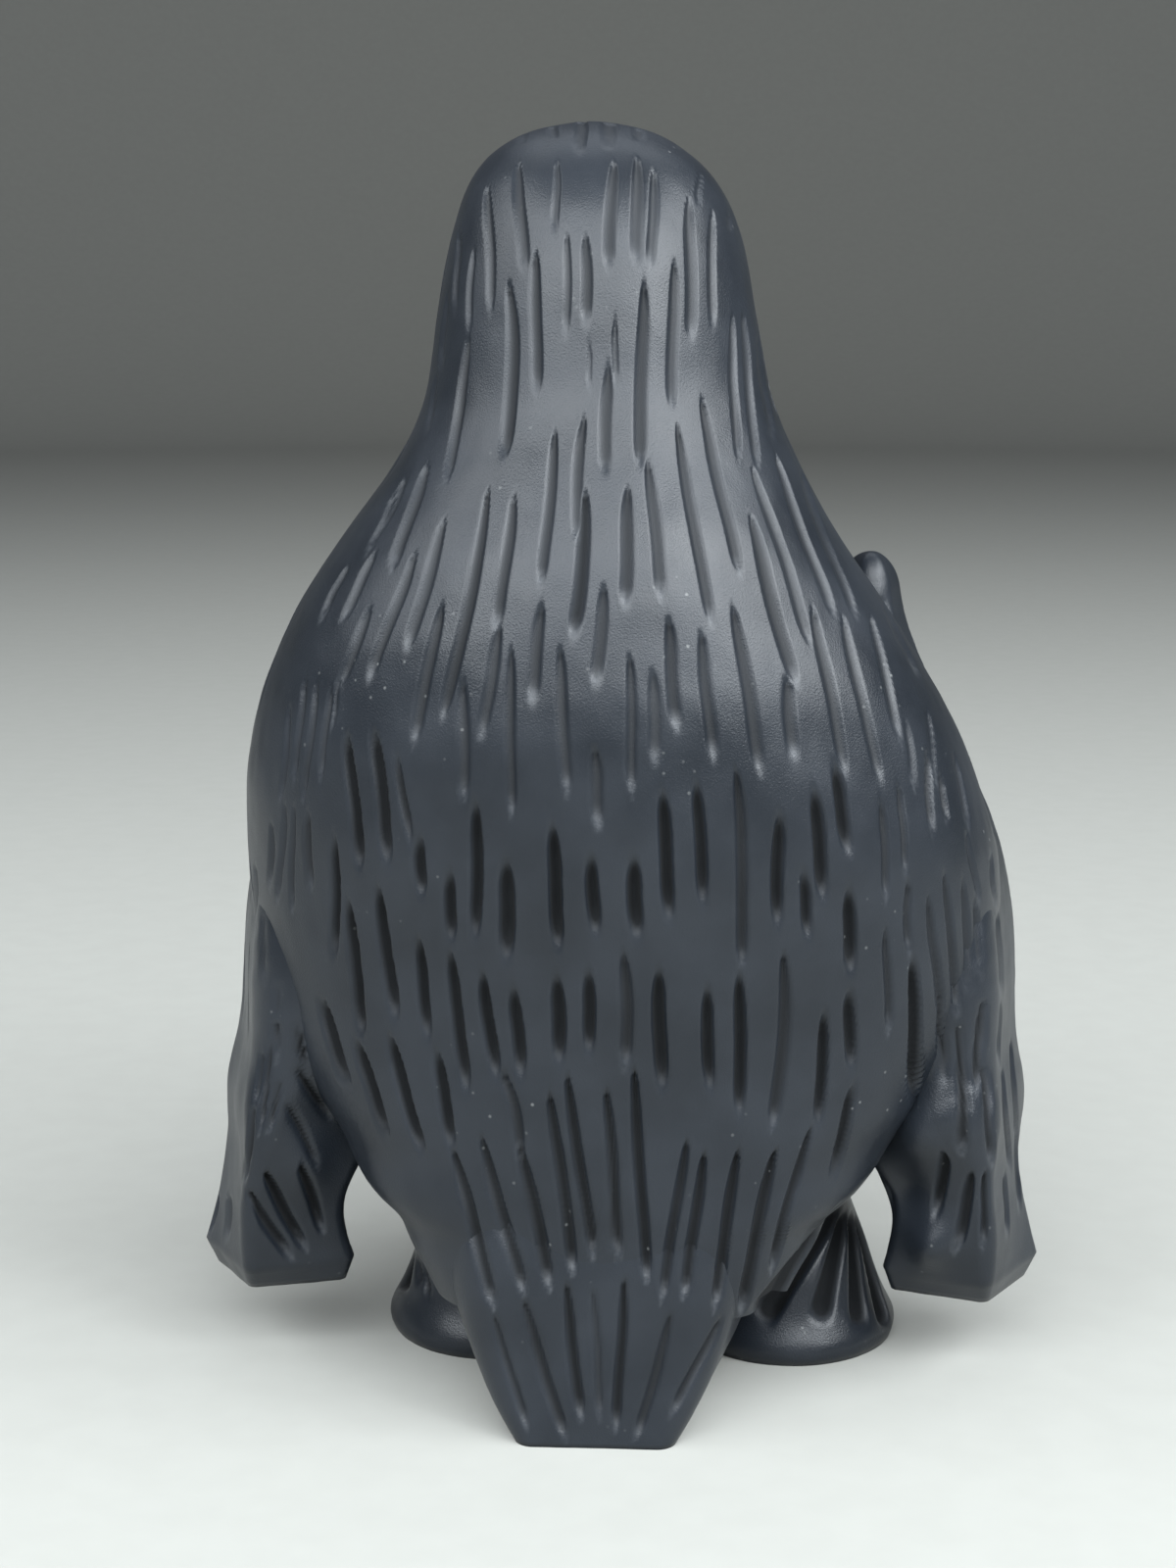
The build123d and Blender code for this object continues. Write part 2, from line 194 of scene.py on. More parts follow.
BOWED_STROKES = (
    (518, 288, 513, 472, 14, 1.1, 7.0),
    (596, 424, 588, 556, 13, 0.9, -3.0),
    (596, 498, 582, 654, 16, 1.3, 5.0),
    (498, 497, 450, 738, 13, 1.1, 3.0),
    (636, 972, 638, 1093, 16, 1.3, 2.0),
    (511, 1092, 531, 1188, 13, 1.2, 5.0),
    (800, 972, 787, 1156, 15, 1.3, 5.0),
    (751, 785, 756, 992, 14, 1.3, 4.0),
)
SHOULDER_STROKES = (
    (436, 472, 398, 585, 12, 1.0),
    (416, 484, 385, 547, 8, 0.7),
    (404, 502, 374, 566, 7, 0.6),
    (454, 528, 414, 668, 13, 1.0),
    (424, 562, 374, 698, 12, 1.0),
    (524, 503, 505, 646, 14, 1.2),
    (567, 438, 551, 602, 13, 1.2),
    (641, 495, 638, 623, 15, 1.3),
    (661, 468, 676, 615, 13, 1.1),
    (690, 432, 726, 641, 12, 1.1),
    (715, 405, 755, 590, 12, 1.1),
    (768, 475, 830, 663, 11, 0.9),
    (765, 525, 812, 702, 14, 1.2),
    (790, 462, 852, 633, 10, 0.9),
    (816, 480, 875, 636, 9, 0.8),
    (383, 562, 346, 638, 9, 0.8),
    (356, 574, 325, 636, 7, 0.7),
    (378, 618, 344, 706, 11, 0.9),
    (450, 616, 420, 762, 13, 1.2),
    (510, 637, 490, 758, 13, 1.1),
    (552, 615, 541, 721, 14, 1.2),
    (617, 597, 607, 704, 15, 1.2),
    (520, 662, 521, 836, 12, 1.2),
    (570, 660, 578, 813, 14, 1.1),
    (472, 695, 473, 821, 14, 1.1),
    (606, 762, 611, 849, 15, 1.2),
    (682, 630, 690, 748, 14, 1.3),
    (715, 644, 728, 779, 13, 1.2),
    (749, 618, 777, 793, 14, 1.2),
    (643, 668, 645, 813, 12, 1.1),
    (667, 685, 668, 783, 15, 1.0),
    (830, 618, 864, 793, 12, 1.1),
    (860, 628, 899, 802, 11, 1.0),
    (803, 690, 809, 779, 14, 1.2),
    (888, 625, 919, 758, 9, 0.9),
    (898, 606, 938, 692, 7, 0.7),
    (925, 735, 933, 806, 8, 0.7),
    (945, 722, 956, 802, 7, 0.6),
)
SIDE_STROKES = (
    (345, 690, 338, 745, 7, 0.6),
    (337, 700, 325, 802, 8, 0.8),
    (323, 696, 308, 822, 8, 0.8),
    (311, 690, 299, 802, 8, 0.7),
    (296, 718, 286, 822, 7, 0.6),
    (291, 818, 283, 926, 7, 0.7),
    (278, 838, 275, 912, 7, 0.7),
    (299, 822, 297, 936, 6, 0.8),
    (313, 830, 315, 913, 10, 1.2),
    (947, 764, 950, 853, 8, 1.1),
    (961, 788, 966, 842, 7, 0.9),
    (918, 800, 925, 897, 8, 1.0),
    (900, 815, 906, 922, 10, 1.1),
    (928, 898, 927, 979, 10, 1.1),
    (948, 915, 961, 1043, 10, 1.1),
    (964, 892, 978, 1038, 9, 1.1),
    (983, 898, 991, 1021, 9, 0.9),
    (995, 918, 1001, 1002, 8, 0.8),
    (975, 770, 990, 850, 7, 0.7),
    (986, 850, 1000, 925, 7, 0.7),
    (905, 948, 907, 1059, 10, 1.1),
    (283, 998, 283, 1092, 6, 0.7),
    (269, 930, 268, 1010, 7, 0.6),
    (260, 880, 260, 960, 6, 0.6),
    (1018, 930, 1022, 1020, 7, 0.6),
    (1010, 870, 1016, 930, 6, 0.6),
)
BACK_STROKES = (
    (352, 742, 368, 896, 12, 1.3),
    (379, 738, 397, 890, 14, 1.2),
    (401, 762, 420, 872, 9, 0.7),
    (426, 846, 429, 919, 13, 1.2),
    (485, 812, 485, 967, 13, 1.2),
    (516, 872, 516, 989, 17, 1.4),
    (562, 835, 570, 978, 14, 1.4),
    (602, 866, 607, 962, 14, 1.3),
    (458, 882, 459, 967, 13, 1.2),
    (341, 845, 341, 988, 10, 1.0),
    (353, 912, 371, 1066, 12, 1.3),
    (382, 898, 404, 1049, 13, 1.3),
    (424, 950, 437, 1069, 12, 1.2),
    (456, 962, 477, 1123, 13, 1.1),
    (645, 868, 650, 966, 16, 1.4),
    (675, 800, 684, 949, 14, 1.3),
    (711, 790, 718, 933, 13, 1.1),
    (755, 985, 755, 1148, 13, 1.2),
    (796, 822, 792, 954, 13, 1.2),
    (831, 798, 841, 926, 14, 1.3),
    (819, 880, 826, 964, 12, 1.0),
    (851, 772, 867, 880, 13, 1.2),
    (868, 900, 868, 1001, 14, 1.3),
    (867, 1003, 869, 1099, 13, 1.2),
    (932, 972, 935, 1132, 13, 1.4),
    (522, 1000, 532, 1108, 14, 1.2),
    (567, 988, 571, 1094, 15, 1.3),
    (599, 983, 602, 1083, 14, 1.2),
    (489, 985, 507, 1109, 13, 1.3),
    (323, 1014, 356, 1114, 14, 1.4),
    (360, 1055, 396, 1168, 13, 1.3),
    (393, 1050, 433, 1186, 13, 1.3),
    (442, 1065, 463, 1182, 13, 1.2),
    (299, 1034, 314, 1099, 10, 0.9),
    (671, 982, 675, 1121, 15, 1.3),
    (720, 1000, 725, 1123, 13, 1.2),
    (843, 1025, 835, 1158, 12, 1.2),
    (874, 1100, 848, 1212, 11, 1.0),
)
RUMP_STROKES = (
    (461, 1172, 505, 1338, 15, 1.0),
    (489, 1160, 536, 1325, 15, 1.0),
    (529, 1166, 563, 1319, 16, 1.1),
    (560, 1114, 586, 1304, 15, 1.1),
    (577, 1098, 606, 1288, 14, 1.2),
    (618, 1110, 632, 1289, 14, 1.1),
    (646, 1090, 660, 1313, 14, 1.2),
    (701, 1162, 674, 1331, 13, 1.0),
    (719, 1175, 697, 1329, 14, 1.1),
    (753, 1172, 729, 1339, 14, 1.2),
    (791, 1172, 755, 1344, 15, 1.2),
    (827, 1150, 785, 1302, 11, 1.0),
)
TAIL_STROKES = (
    (576, 1308, 593, 1453, 15, 1.2),
    (637, 1303, 628, 1464, 14, 1.2),
    (605, 1314, 613, 1452, 12, 0.7),
    (532, 1325, 578, 1473, 15, 1.0),
    (502, 1340, 539, 1463, 12, 0.8),
    (686, 1338, 648, 1473, 14, 0.9),
    (738, 1344, 682, 1448, 13, 0.9),
)
FLIPPER_STROKES = (
    (300, 1088, 341, 1146, 9, 1.0),
    (303, 1182, 332, 1261, 11, 1.3),
    (268, 1194, 314, 1279, 12, 1.3),
    (250, 1214, 300, 1289, 12, 1.0),
    (291, 1124, 326, 1192, 7, 0.8),
    (288, 1100, 272, 1160, 7, 0.8),
    (281, 1040, 263, 1160, 6, 0.8),
    (267, 1072, 260, 1132, 6, 0.6),
    (258, 1128, 249, 1212, 7, 0.7),
    (234, 1216, 231, 1270, 8, 0.4),
    (222, 1216, 213, 1262, 7, 0.4),
    (971, 1166, 953, 1244, 12, 1.2),
    (992, 1193, 976, 1278, 14, 0.9),
    (1006, 1193, 1003, 1278, 11, 0.8),
    (1003, 1085, 1011, 1194, 10, 0.8),
    (1003, 1020, 995, 1119, 10, 0.9),
    (978, 1044, 984, 1179, 11, 0.9),
    (1022, 1090, 1030, 1200, 6, 0.45),
    (1031, 1060, 1037, 1170, 5, 0.35),
    (1036, 1150, 1040, 1240, 5, 0.3),
    (1021, 1020, 1019, 1092, 5, 0.35),
    (1025, 1196, 1028, 1266, 6, 0.45),
    (960, 1010, 962, 1110, 8, 0.8),
)
FOOT_STROKES = (
    (866, 1222, 772, 1350, 34, 1.0),
    (867, 1224, 834, 1352, 30, 1.0),
    (869, 1226, 877, 1358, 22, 1.0),
    (871, 1226, 904, 1358, 15, 1.0),
    (423, 1262, 408, 1322, 18, 1.0),
    (424, 1270, 429, 1316, 9, 0.5),
    (429, 1276, 439, 1330, 9, 0.5),
)

# Swellings on the flippers' backs: column, row and reach in pixels, height in millimetres
FLIPPER_SWELLINGS = (
    (950, 1150, 40, 4.8),
    (954, 1268, 25, 3.2),
    (922, 1212, 22, -1.5),
    (306, 1190, 30, 1.6),
)


class Station(Enum):
    """Columns of the body's outline table."""

    HEIGHT = 0
    WIDTH = 1
    BELLY = 2
    BACK = 3
    LEAN = 4
    POWER = 5


class Side(Enum):
    """The penguin's own left and right; left is +X."""

    LEFT = 1
    RIGHT = -1

    @property
    def word(self) -> str:
        """The side as the names of nodes have it."""
        return self.name.lower()


def smooth(values: np.ndarray) -> np.ndarray:
    """Ease from 0 to 1: three times the square less twice the cube.

    Args:
        values: Numbers of which 0 is the start of the ease and 1 its end.

    Returns:
        The eased numbers, held at 0 and 1 outside.
    """
    held = np.clip(values, 0.0, 1.0)
    return held * held * (3.0 - 2.0 * held)


class Spline:
    """A natural cubic curve through rows of values."""

    def __init__(self, knots: np.ndarray, values: np.ndarray) -> None:
        """Solve for the curve's second slopes.

        Args:
            knots: Rising places of the rows.
            values: One row of values for each knot.
        """
        self.knots = np.asarray(knots, float)
        self.values = np.asarray(values, float)
        self.step = np.diff(self.knots)
        slope = np.diff(self.values, axis=0) / self.step[:, None]
        middle = np.r_[1.0, 2.0 * (self.step[:-1] + self.step[1:]), 1.0]
        matrix = np.diag(middle)
        matrix += np.diag(np.r_[self.step[:-1], 0.0], -1)
        matrix += np.diag(np.r_[0.0, self.step[1:]], 1)
        pull = np.zeros_like(self.values)
        pull[1:-1] = 6.0 * np.diff(slope, axis=0)
        self.bend = np.linalg.solve(matrix, pull)

    def at(self, places: np.ndarray) -> np.ndarray:
        """Values of the curve.

        Args:
            places: Where to read it, between the first and the last knot.

        Returns:
            One row of values for each place.
        """
        last = len(self.knots) - 2
        index = np.clip(np.searchsorted(self.knots, places, side="right") - 1, 0, last)
        step = self.step[index][:, None]
        before = (self.knots[index + 1] - places)[:, None] / step
        after = 1.0 - before
        line = before * self.values[index] + after * self.values[index + 1]
        curve = (before**3 - before) * self.bend[index] + (after**3 - after) * self.bend[index + 1]
        return line + curve * step**2 / 6.0


def read_table(shares: tuple, places: np.ndarray) -> np.ndarray:
    """Columns of a table between its rows, along natural curves.

    Args:
        shares: The table, whose first column rises or falls steadily.
        places: Values of the first column.

    Returns:
        One array for each column.
    """
    rows = np.array(sorted(shares))
    return Spline(rows[:, 0], rows).at(places).T


def once_round(columns: int) -> np.ndarray:
    """Even angles once round, in radians."""
    return np.arange(columns) / columns * 2.0 * math.pi


def lifted(flat: np.ndarray, heights: np.ndarray) -> np.ndarray:
    """Flat rings, rows by columns, lifted to one height for each row."""
    tall = np.broadcast_to(heights[:, None, None], flat.shape[:2] + (1,))
    return np.concatenate((flat, tall), axis=-1)


@dataclass(frozen=True)
class PhotoCamera:
    """The camera of the back view; lengths in metres, picture sizes in pixels."""

    columns: float = 1200.0
    rows: float = 1600.0
    focal: float = 2600.0
    azimuth: float = 182.0
    distance: float = 2.05 * FIGURE_HEIGHT
    eye_height: float = 0.875 * FIGURE_HEIGHT
    pitch: float = 11.1
    axis_column: float = 640.0
    sensor: float = 36.0

    def axes(self) -> tuple[np.ndarray, np.ndarray, np.ndarray, np.ndarray]:
        """Where the camera stands and how it is turned.

        Returns:
            The eye, and the directions of picture right, picture up and straight ahead.
        """
        turn = math.radians(self.azimuth)
        away = np.array((math.sin(turn), -math.cos(turn), 0.0))
        eye = away * self.distance + np.array((0.0, 0.0, self.eye_height))
        yaw = math.atan((self.axis_column - self.columns / 2) / self.focal)
        level = np.cross(-away, (0.0, 0.0, 1.0))
        right = level * math.cos(yaw) - away * math.sin(yaw)
        flat = -away * math.cos(yaw) - level * math.sin(yaw)
        fall = math.radians(self.pitch)
        ahead = flat * math.cos(fall) - np.array((0.0, 0.0, math.sin(fall)))
        return eye, right, np.cross(right, ahead), ahead

    def spots(self, points: np.ndarray) -> np.ndarray:
        """Picture places of points.

        Args:
            points: Points of the frame, in metres, in the last axis.

        Returns:
            Column and row of each point, in pixels.
        """
        eye, right, up, ahead = self.axes()
        offset = points - eye
        depth = offset @ ahead
        column = self.columns / 2 + self.focal * (offset @ right) / depth
        row = self.rows / 2 - self.focal * (offset @ up) / depth
        return np.stack((column, row), axis=-1)

    def facing(self, points: np.ndarray, normals: np.ndarray) -> np.ndarray:
        """How squarely a surface is turned to the camera.

        Args:
            points: Points of the surface.
            normals: Its outward directions there.

        Returns:
            1 where the surface faces the camera, 0 at the outline, below 0 behind it.
        """
        view = self.axes()[0] - points
        view = view / np.linalg.norm(view, axis=-1, keepdims=True)
        return np.sum(view * normals, axis=-1)

    def build(self) -> bpy.types.Object:
        """Make the scene's camera.

        Returns:
            The camera object.
        """
        eye, right, up, ahead = self.axes()
        data = bpy.data.cameras.new("back_view")
        data.sensor_fit = "AUTO"
        data.sensor_width = self.sensor
        data.lens = self.focal * self.sensor / self.rows
        camera = bpy.data.objects.new("back_view", data)
        turned = np.eye(4)
        turned[:3, :3] = np.column_stack((right, up, -ahead))
        turned[:3, 3] = eye
        camera.matrix_world = Matrix(turned.tolist())
        bpy.context.scene.collection.objects.link(camera)
        bpy.context.scene.camera = camera
        LOG.info("camera back_view")
        return camera


@dataclass(frozen=True)
class Carving:
    """Gouge strokes laid on a flat map: each is a trough with a pointed top and a ramped bottom.

    Depth is in metres, and rub is the paler colour at the lower ends: partly worn paint, partly a
    painted highlight on the end slope that faces up. Entry and ramp, in pixels, are the runs over which
    a stroke sinks and rises. Wobble is in pixels. Flare is the width at the top as a share of that at
    the bottom, swell widens the whole stroke, and point is the share of its length over which the top
    narrows. Softness rounds the lips, and skew steepens one of them. The shares at the end are of the
    point, of the stroke's length, and of the ramp.
    """

    rows: tuple
    depth: float
    rub_and_highlight: float
    entry: float = 9.0
    ramp: float = 26.0
    wobble: float = 0.7
    flare: float = 1.0
    swell: float = 1.0
    point: float = 0.40
    softness: float = 1.4
    skew: float = 0.35
    wobble_turn: float = 7.0
    foot_point_share: float = 0.5
    longest_ramp_share: float = 0.4
    rub_and_highlight_start_share: float = 1.1
    rub_and_highlight_run_share: float = 0.8

    def trough(self, spots: np.ndarray, row: tuple) -> tuple[np.ndarray, np.ndarray, np.ndarray]:
        """One stroke: depth falls off across it as a skewed parabola, and its ends are half ovals.

        Args:
            spots: Map places of the surface's points.
            row: The stroke's ends, width, strength and, where it has one, its bow.

        Returns:
            Indices of the points near it, their depth and their rub, both from 0 to 1.
        """
        start = np.array(row[:2], float)
        line = np.array(row[2:4], float) - start
        width, strength = self.swell * row[4], row[5]
        bow = row[6] if len(row) > 6 else 0.0
        length = math.hypot(*line)
        low = np.minimum(start, start + line) - width - abs(bow)
        high = np.maximum(start, start + line) + width + abs(bow)
        near = np.flatnonzero(np.all((spots > low) & (spots < high), axis=1))
        offset = spots[near] - start
        along = offset @ line / length**2
        across = (offset[:, 0] * line[1] - offset[:, 1] * line[0]) / length
        across = across - bow * 4.0 * along * (1.0 - along)
        across = across + self.wobble * np.sin(self.wobble_turn * along + row[0])
        width = width * (1.0 + (self.flare - 1.0) * np.clip(1.0 - along, 0.0, 1.0))
        top = 1.0 - np.clip(along / self.point, 0.0, 1.0)
        foot = 1.0 - np.clip((1.0 - along) / (self.foot_point_share * self.point), 0.0, 1.0)
        taper = np.sqrt(np.clip((1.0 - top**2) * (1.0 - foot**2), TINY, 1.0))
        place = 2.0 * across / (width * taper)
        reach = np.clip(1.0 - place**2, 0.0, 1.0)
        entry = smooth(along * length / self.entry)
        ramp = min(self.ramp, self.longest_ramp_share * length)
        leave = smooth((1.0 - along) * length / ramp)
        inside = (along > 0.0) & (along < 1.0)
        wall = reach**self.softness * (1.0 + self.skew * np.clip(place, -1.0, 1.0))
        deep = np.where(inside, strength * wall * entry * leave, 0.0)
        # The rub runs over the ramp, where the end slope faces up: worn paint and a painted highlight
        start_run = (along * length - length) / self.ramp + self.rub_and_highlight_start_share
        end = smooth(start_run / self.rub_and_highlight_run_share)
        return near, deep, np.where(inside, reach * end, 0.0)

    def carve(self, spots: np.ndarray) -> tuple[np.ndarray, np.ndarray]:
        """All the strokes together, the deepest one at each point.

        Args:
            spots: Map places of the surface's points.

        Returns:
            Depth in metres and rub from 0 to 1.
        """
        cut = np.zeros(len(spots))
        rub_and_highlight = np.zeros(len(spots))
        for row in self.rows:
            near, deep, wear_and_highlight = self.trough(spots, row)
            cut[near] = np.maximum(cut[near], deep * self.depth)
            rub_and_highlight[near] = np.maximum(rub_and_highlight[near], wear_and_highlight * self.rub_and_highlight)
        return cut, rub_and_highlight


# Pixels to the metre on the map of the far strokes
FAR_MAP_SCALE = 6500.0

CAMERA = PhotoCamera()
STROKE_DEPTH = 1.15 * MILLIMETRE
# Each carving's second number is the rub at the strokes' lower ends: worn paint and a painted highlight
SEEN_CARVINGS = (
    Carving(HEAD_STROKES, 0.5 * STROKE_DEPTH, 0.25, swell=1.12),
    Carving(BOWED_STROKES, 0.62 * STROKE_DEPTH, 0.5, swell=1.12),
    Carving(SHOULDER_STROKES, 0.5 * STROKE_DEPTH, 0.9, swell=1.12),
    Carving(SIDE_STROKES, 0.6 * STROKE_DEPTH, 0.6),
    Carving(BACK_STROKES, 1.2 * STROKE_DEPTH, 0.0, entry=36.0, ramp=46.0, swell=1.08, softness=1.1),
    Carving(RUMP_STROKES, 0.85 * STROKE_DEPTH, 1.0, softness=1.1),
    Carving(TAIL_STROKES, 0.8 * STROKE_DEPTH, 0.5),
    Carving(FLIPPER_STROKES, 1.1 * STROKE_DEPTH, 0.7, softness=1.1),
    Carving(
        FOOT_STROKES, 1.8 * STROKE_DEPTH, 0.0, entry=40.0, ramp=24.0, wobble=0.0, flare=0.3, point=0.1
    ),
)


@dataclass(frozen=True)
class FarTiers:
    """Staggered tiers of upright strokes for the sides that the back view doesn't show.

    Heights, pitch and jitter are in metres; reach is how far the tiers run to each side of the
    middle. Lengths are shares of a tier, and widths are in pixels of the far map.
    """

    low: float
    high: float
    tier: float
    reach: float
    depth: float
    seed: int
    # Rub at the strokes' lower ends: worn paint and a painted highlight
    rub_and_highlight: float = 0.3
    pitch: float = 9.5 * MILLIMETRE
    jitter: float = 0.9 * MILLIMETRE
    lean_share: float = 1.6
    splay_share: float = 0.04
    length_shares: tuple = (0.75, 1.05)
    widths: tuple = (11.0, 14.5)
    strengths: tuple = (0.6, 1.0)

    def carving(self) -> Carving:
        """Lay the strokes out on the far map, whose rows run downwards.

        Returns:
            The carving.
        """
        random = np.random.default_rng(self.seed)
        rows = []
        for number, top in enumerate(np.arange(self.high, self.low, -self.tier)):
            stagger = 0.5 * self.pitch * (number % 2)
            for place in np.arange(-self.reach, self.reach, self.pitch) + stagger:
                shift, lean, drop = random.normal(0.0, self.jitter, 3)
                length = self.tier * random.uniform(*self.length_shares)
                foot = place + shift + self.lean_share * lean + self.splay_share * place
                ends = np.array((place + shift, drop - top, foot, drop - top + length))
                width, strength = random.uniform(*self.widths), random.uniform(*self.strengths)
                rows.append((*(ends * FAR_MAP_SCALE), width, strength))
        return Carving(tuple(rows), self.depth, self.rub_and_highlight)


def unevenness(points: np.ndarray, seed: int, wave: float, height: float) -> np.ndarray:
    """Soft lumps of a hand-worked surface: a sum of sine waves in seeded directions.

    Args:
        points: Points of the surface, in metres.
        seed: Seed of the directions and phases.
        wave: Mean length of the waves, in metres.
        height: Height of the lumps, in metres.

    Returns:
        The lumps' height at each point.
    """
    random = np.random.default_rng(seed)
    count = 18
    ways = random.normal(0.0, 1.0, (3, count))
    ways *= 2.0 * math.pi / (wave * np.linalg.norm(ways, axis=0) * random.uniform(0.7, 1.5, count))
    phases = random.uniform(0.0, 2.0 * math.pi, count)
    return height * np.sin(points @ ways + phases).sum(axis=-1) / math.sqrt(count)


def grid_normals(points: np.ndarray) -> np.ndarray:
    """Outward directions of a grid whose columns close round and whose rows rise.

    Each is the cross product of the steps round the grid and up it.

    Args:
        points: Rows by columns of points.

    Returns:
        A unit direction for each point.
    """
    around = np.roll(points, -1, axis=1) - np.roll(points, 1, axis=1)
    upward = np.gradient(points, axis=0)
    normals = np.cross(around, upward)
    return normals / np.maximum(np.linalg.norm(normals, axis=-1, keepdims=True), 1e-12)


@dataclass
class Skin:
    """A closed surface made of rings of points, with the carving's depth and rub at each point.

    The rub is partly worn paint, partly a painted highlight.
    """

    name: str
    rings: np.ndarray
    cut: np.ndarray
    rub_and_highlight: np.ndarray
    normals: np.ndarray | None = None

    def mesh(self) -> bpy.types.Object:
        """Join each ring to the next one up and close both ends with a fan.

        Returns:
            The finished object, at the origin.
        """
        rows, columns = self.rings.shape[:2]
        index = np.arange(rows * columns).reshape(rows, columns)
        after = np.roll(index, -1, axis=1)
        quads = np.stack((index[:-1], after[:-1], after[1:], index[1:]), axis=-1).reshape(-1, 4)
        foot, top = rows * columns, rows * columns + 1
        low = np.column_stack((after[0], index[0], np.full(columns, foot)))
        high = np.column_stack((index[-1], after[-1], np.full(columns, top)))
        ends = np.stack((self.rings[0].mean(axis=0), self.rings[-1].mean(axis=0)))
        points = np.concatenate((self.rings.reshape(-1, 3), ends))
        return self.lay(points, quads, np.concatenate((low, high)))

    def lay(self, points: np.ndarray, quads: np.ndarray, fans: np.ndarray) -> bpy.types.Object:
        """Write points and faces into a mesh object.

        Args:
            points: All the points.
            quads: Four-sided faces.
            fans: Three-sided faces.

        Returns:
            The object, linked to the scene.
        """
        mesh = bpy.data.meshes.new(self.name)
        loops = np.concatenate((quads.ravel(), fans.ravel()))
        sizes = np.r_[np.full(len(quads), 4), np.full(len(fans), 3)]
        mesh.vertices.add(len(points))
        mesh.vertices.foreach_set("co", points.astype(np.float32).ravel())
        mesh.loops.add(len(loops))
        mesh.loops.foreach_set("vertex_index", loops.astype(np.int32))
        mesh.polygons.add(len(sizes))
        mesh.polygons.foreach_set("loop_start", (np.cumsum(sizes) - sizes).astype(np.int32))
        mesh.update(calc_edges=True)
        mesh.validate()
        mesh.shade_smooth()
        # The rub attribute is worn paint and a painted highlight; the cut attribute is the carved depth
        for label, values in (("cut", self.cut), ("rub_and_highlight", self.rub_and_highlight)):
            layer = mesh.attributes.new(label, "FLOAT", "POINT")
            layer.data.foreach_set("value", np.r_[values.ravel(), 0.0, 0.0].astype(np.float32))
        if self.normals is not None:
            ends = np.array(((0.0, 0.0, -1.0), (0.0, 0.0, 1.0)))
            flat = np.concatenate((self.normals.reshape(-1, 3), ends))
            mesh.normals_split_custom_set_from_vertices(flat.tolist())
        piece = bpy.data.objects.new(self.name, mesh)
        bpy.context.scene.collection.objects.link(piece)
        LOG.info("piece %s, %d faces", self.name, len(mesh.polygons))
        return piece


@dataclass(frozen=True)
class Carver:
    """Works strokes, swellings and lumps into a grid of points."""

    far: Carving | None = None
    seed: int = 3
    swellings: tuple = ()
    lump: float = 0.09 * MILLIMETRE
    lump_wave: float = 16.0 * MILLIMETRE
    dent: float = 0.0225 * MILLIMETRE
    dent_wave: float = 4.5 * MILLIMETRE
    outline_facing: float = 0.02
    outline_fade: float = 0.12

    def work(
        self, points: np.ndarray, far_spots: np.ndarray | None = None
    ) -> tuple[np.ndarray, np.ndarray, np.ndarray]:
        """Sink the strokes, and raise the lumps, along the surface's own directions.

        Strokes and swellings of the back view count where the surface faces that camera, the far
        strokes behind. A swelling falls off as a bell curve of the distance in the picture.

        Args:
            points: Rows by columns of points.
            far_spots: Places on the map of the far strokes, if there are any.

        Returns:
            The worked points, and depth and rub from 0 to 1; the rub is worn paint and a painted highlight.
        """
        normals = grid_normals(points)
        seen = smooth((CAMERA.facing(points, normals) - self.outline_facing) / self.outline_fade)
        spots = CAMERA.spots(points).reshape(-1, 2)
        cut = np.zeros(len(spots))
        rub_and_highlight = np.zeros(len(spots))
        for carving in SEEN_CARVINGS:
            deeper, wear_and_highlight = carving.carve(spots)
            cut = np.maximum(cut, deeper)
            rub_and_highlight = np.maximum(rub_and_highlight, wear_and_highlight)
        shape = points.shape[:2]
        cut = cut.reshape(shape) * seen
        rub_and_highlight = rub_and_highlight.reshape(shape) * seen
        if self.far is not None and far_spots is not None:
            deeper, wear_and_highlight = self.far.carve(far_spots.reshape(-1, 2))
            cut = np.maximum(cut, deeper.reshape(shape) * (1.0 - seen))
            rub_and_highlight = np.maximum(rub_and_highlight, wear_and_highlight.reshape(shape) * (1.0 - seen))
        lumps = unevenness(points, self.seed, self.lump_wave, self.lump)
        lumps = lumps + unevenness(points, self.seed + 1, self.dent_wave, self.dent)
        for column, row, reach, height in self.swellings:
            gap = np.hypot(spots[:, 0] - column, spots[:, 1] - row).reshape(shape) / reach
            lumps = lumps + height * MILLIMETRE * np.exp(-(gap**2)) * seen
        worked = points + normals * (lumps - cut)[..., None]
        return worked, cut / STROKE_DEPTH, rub_and_highlight


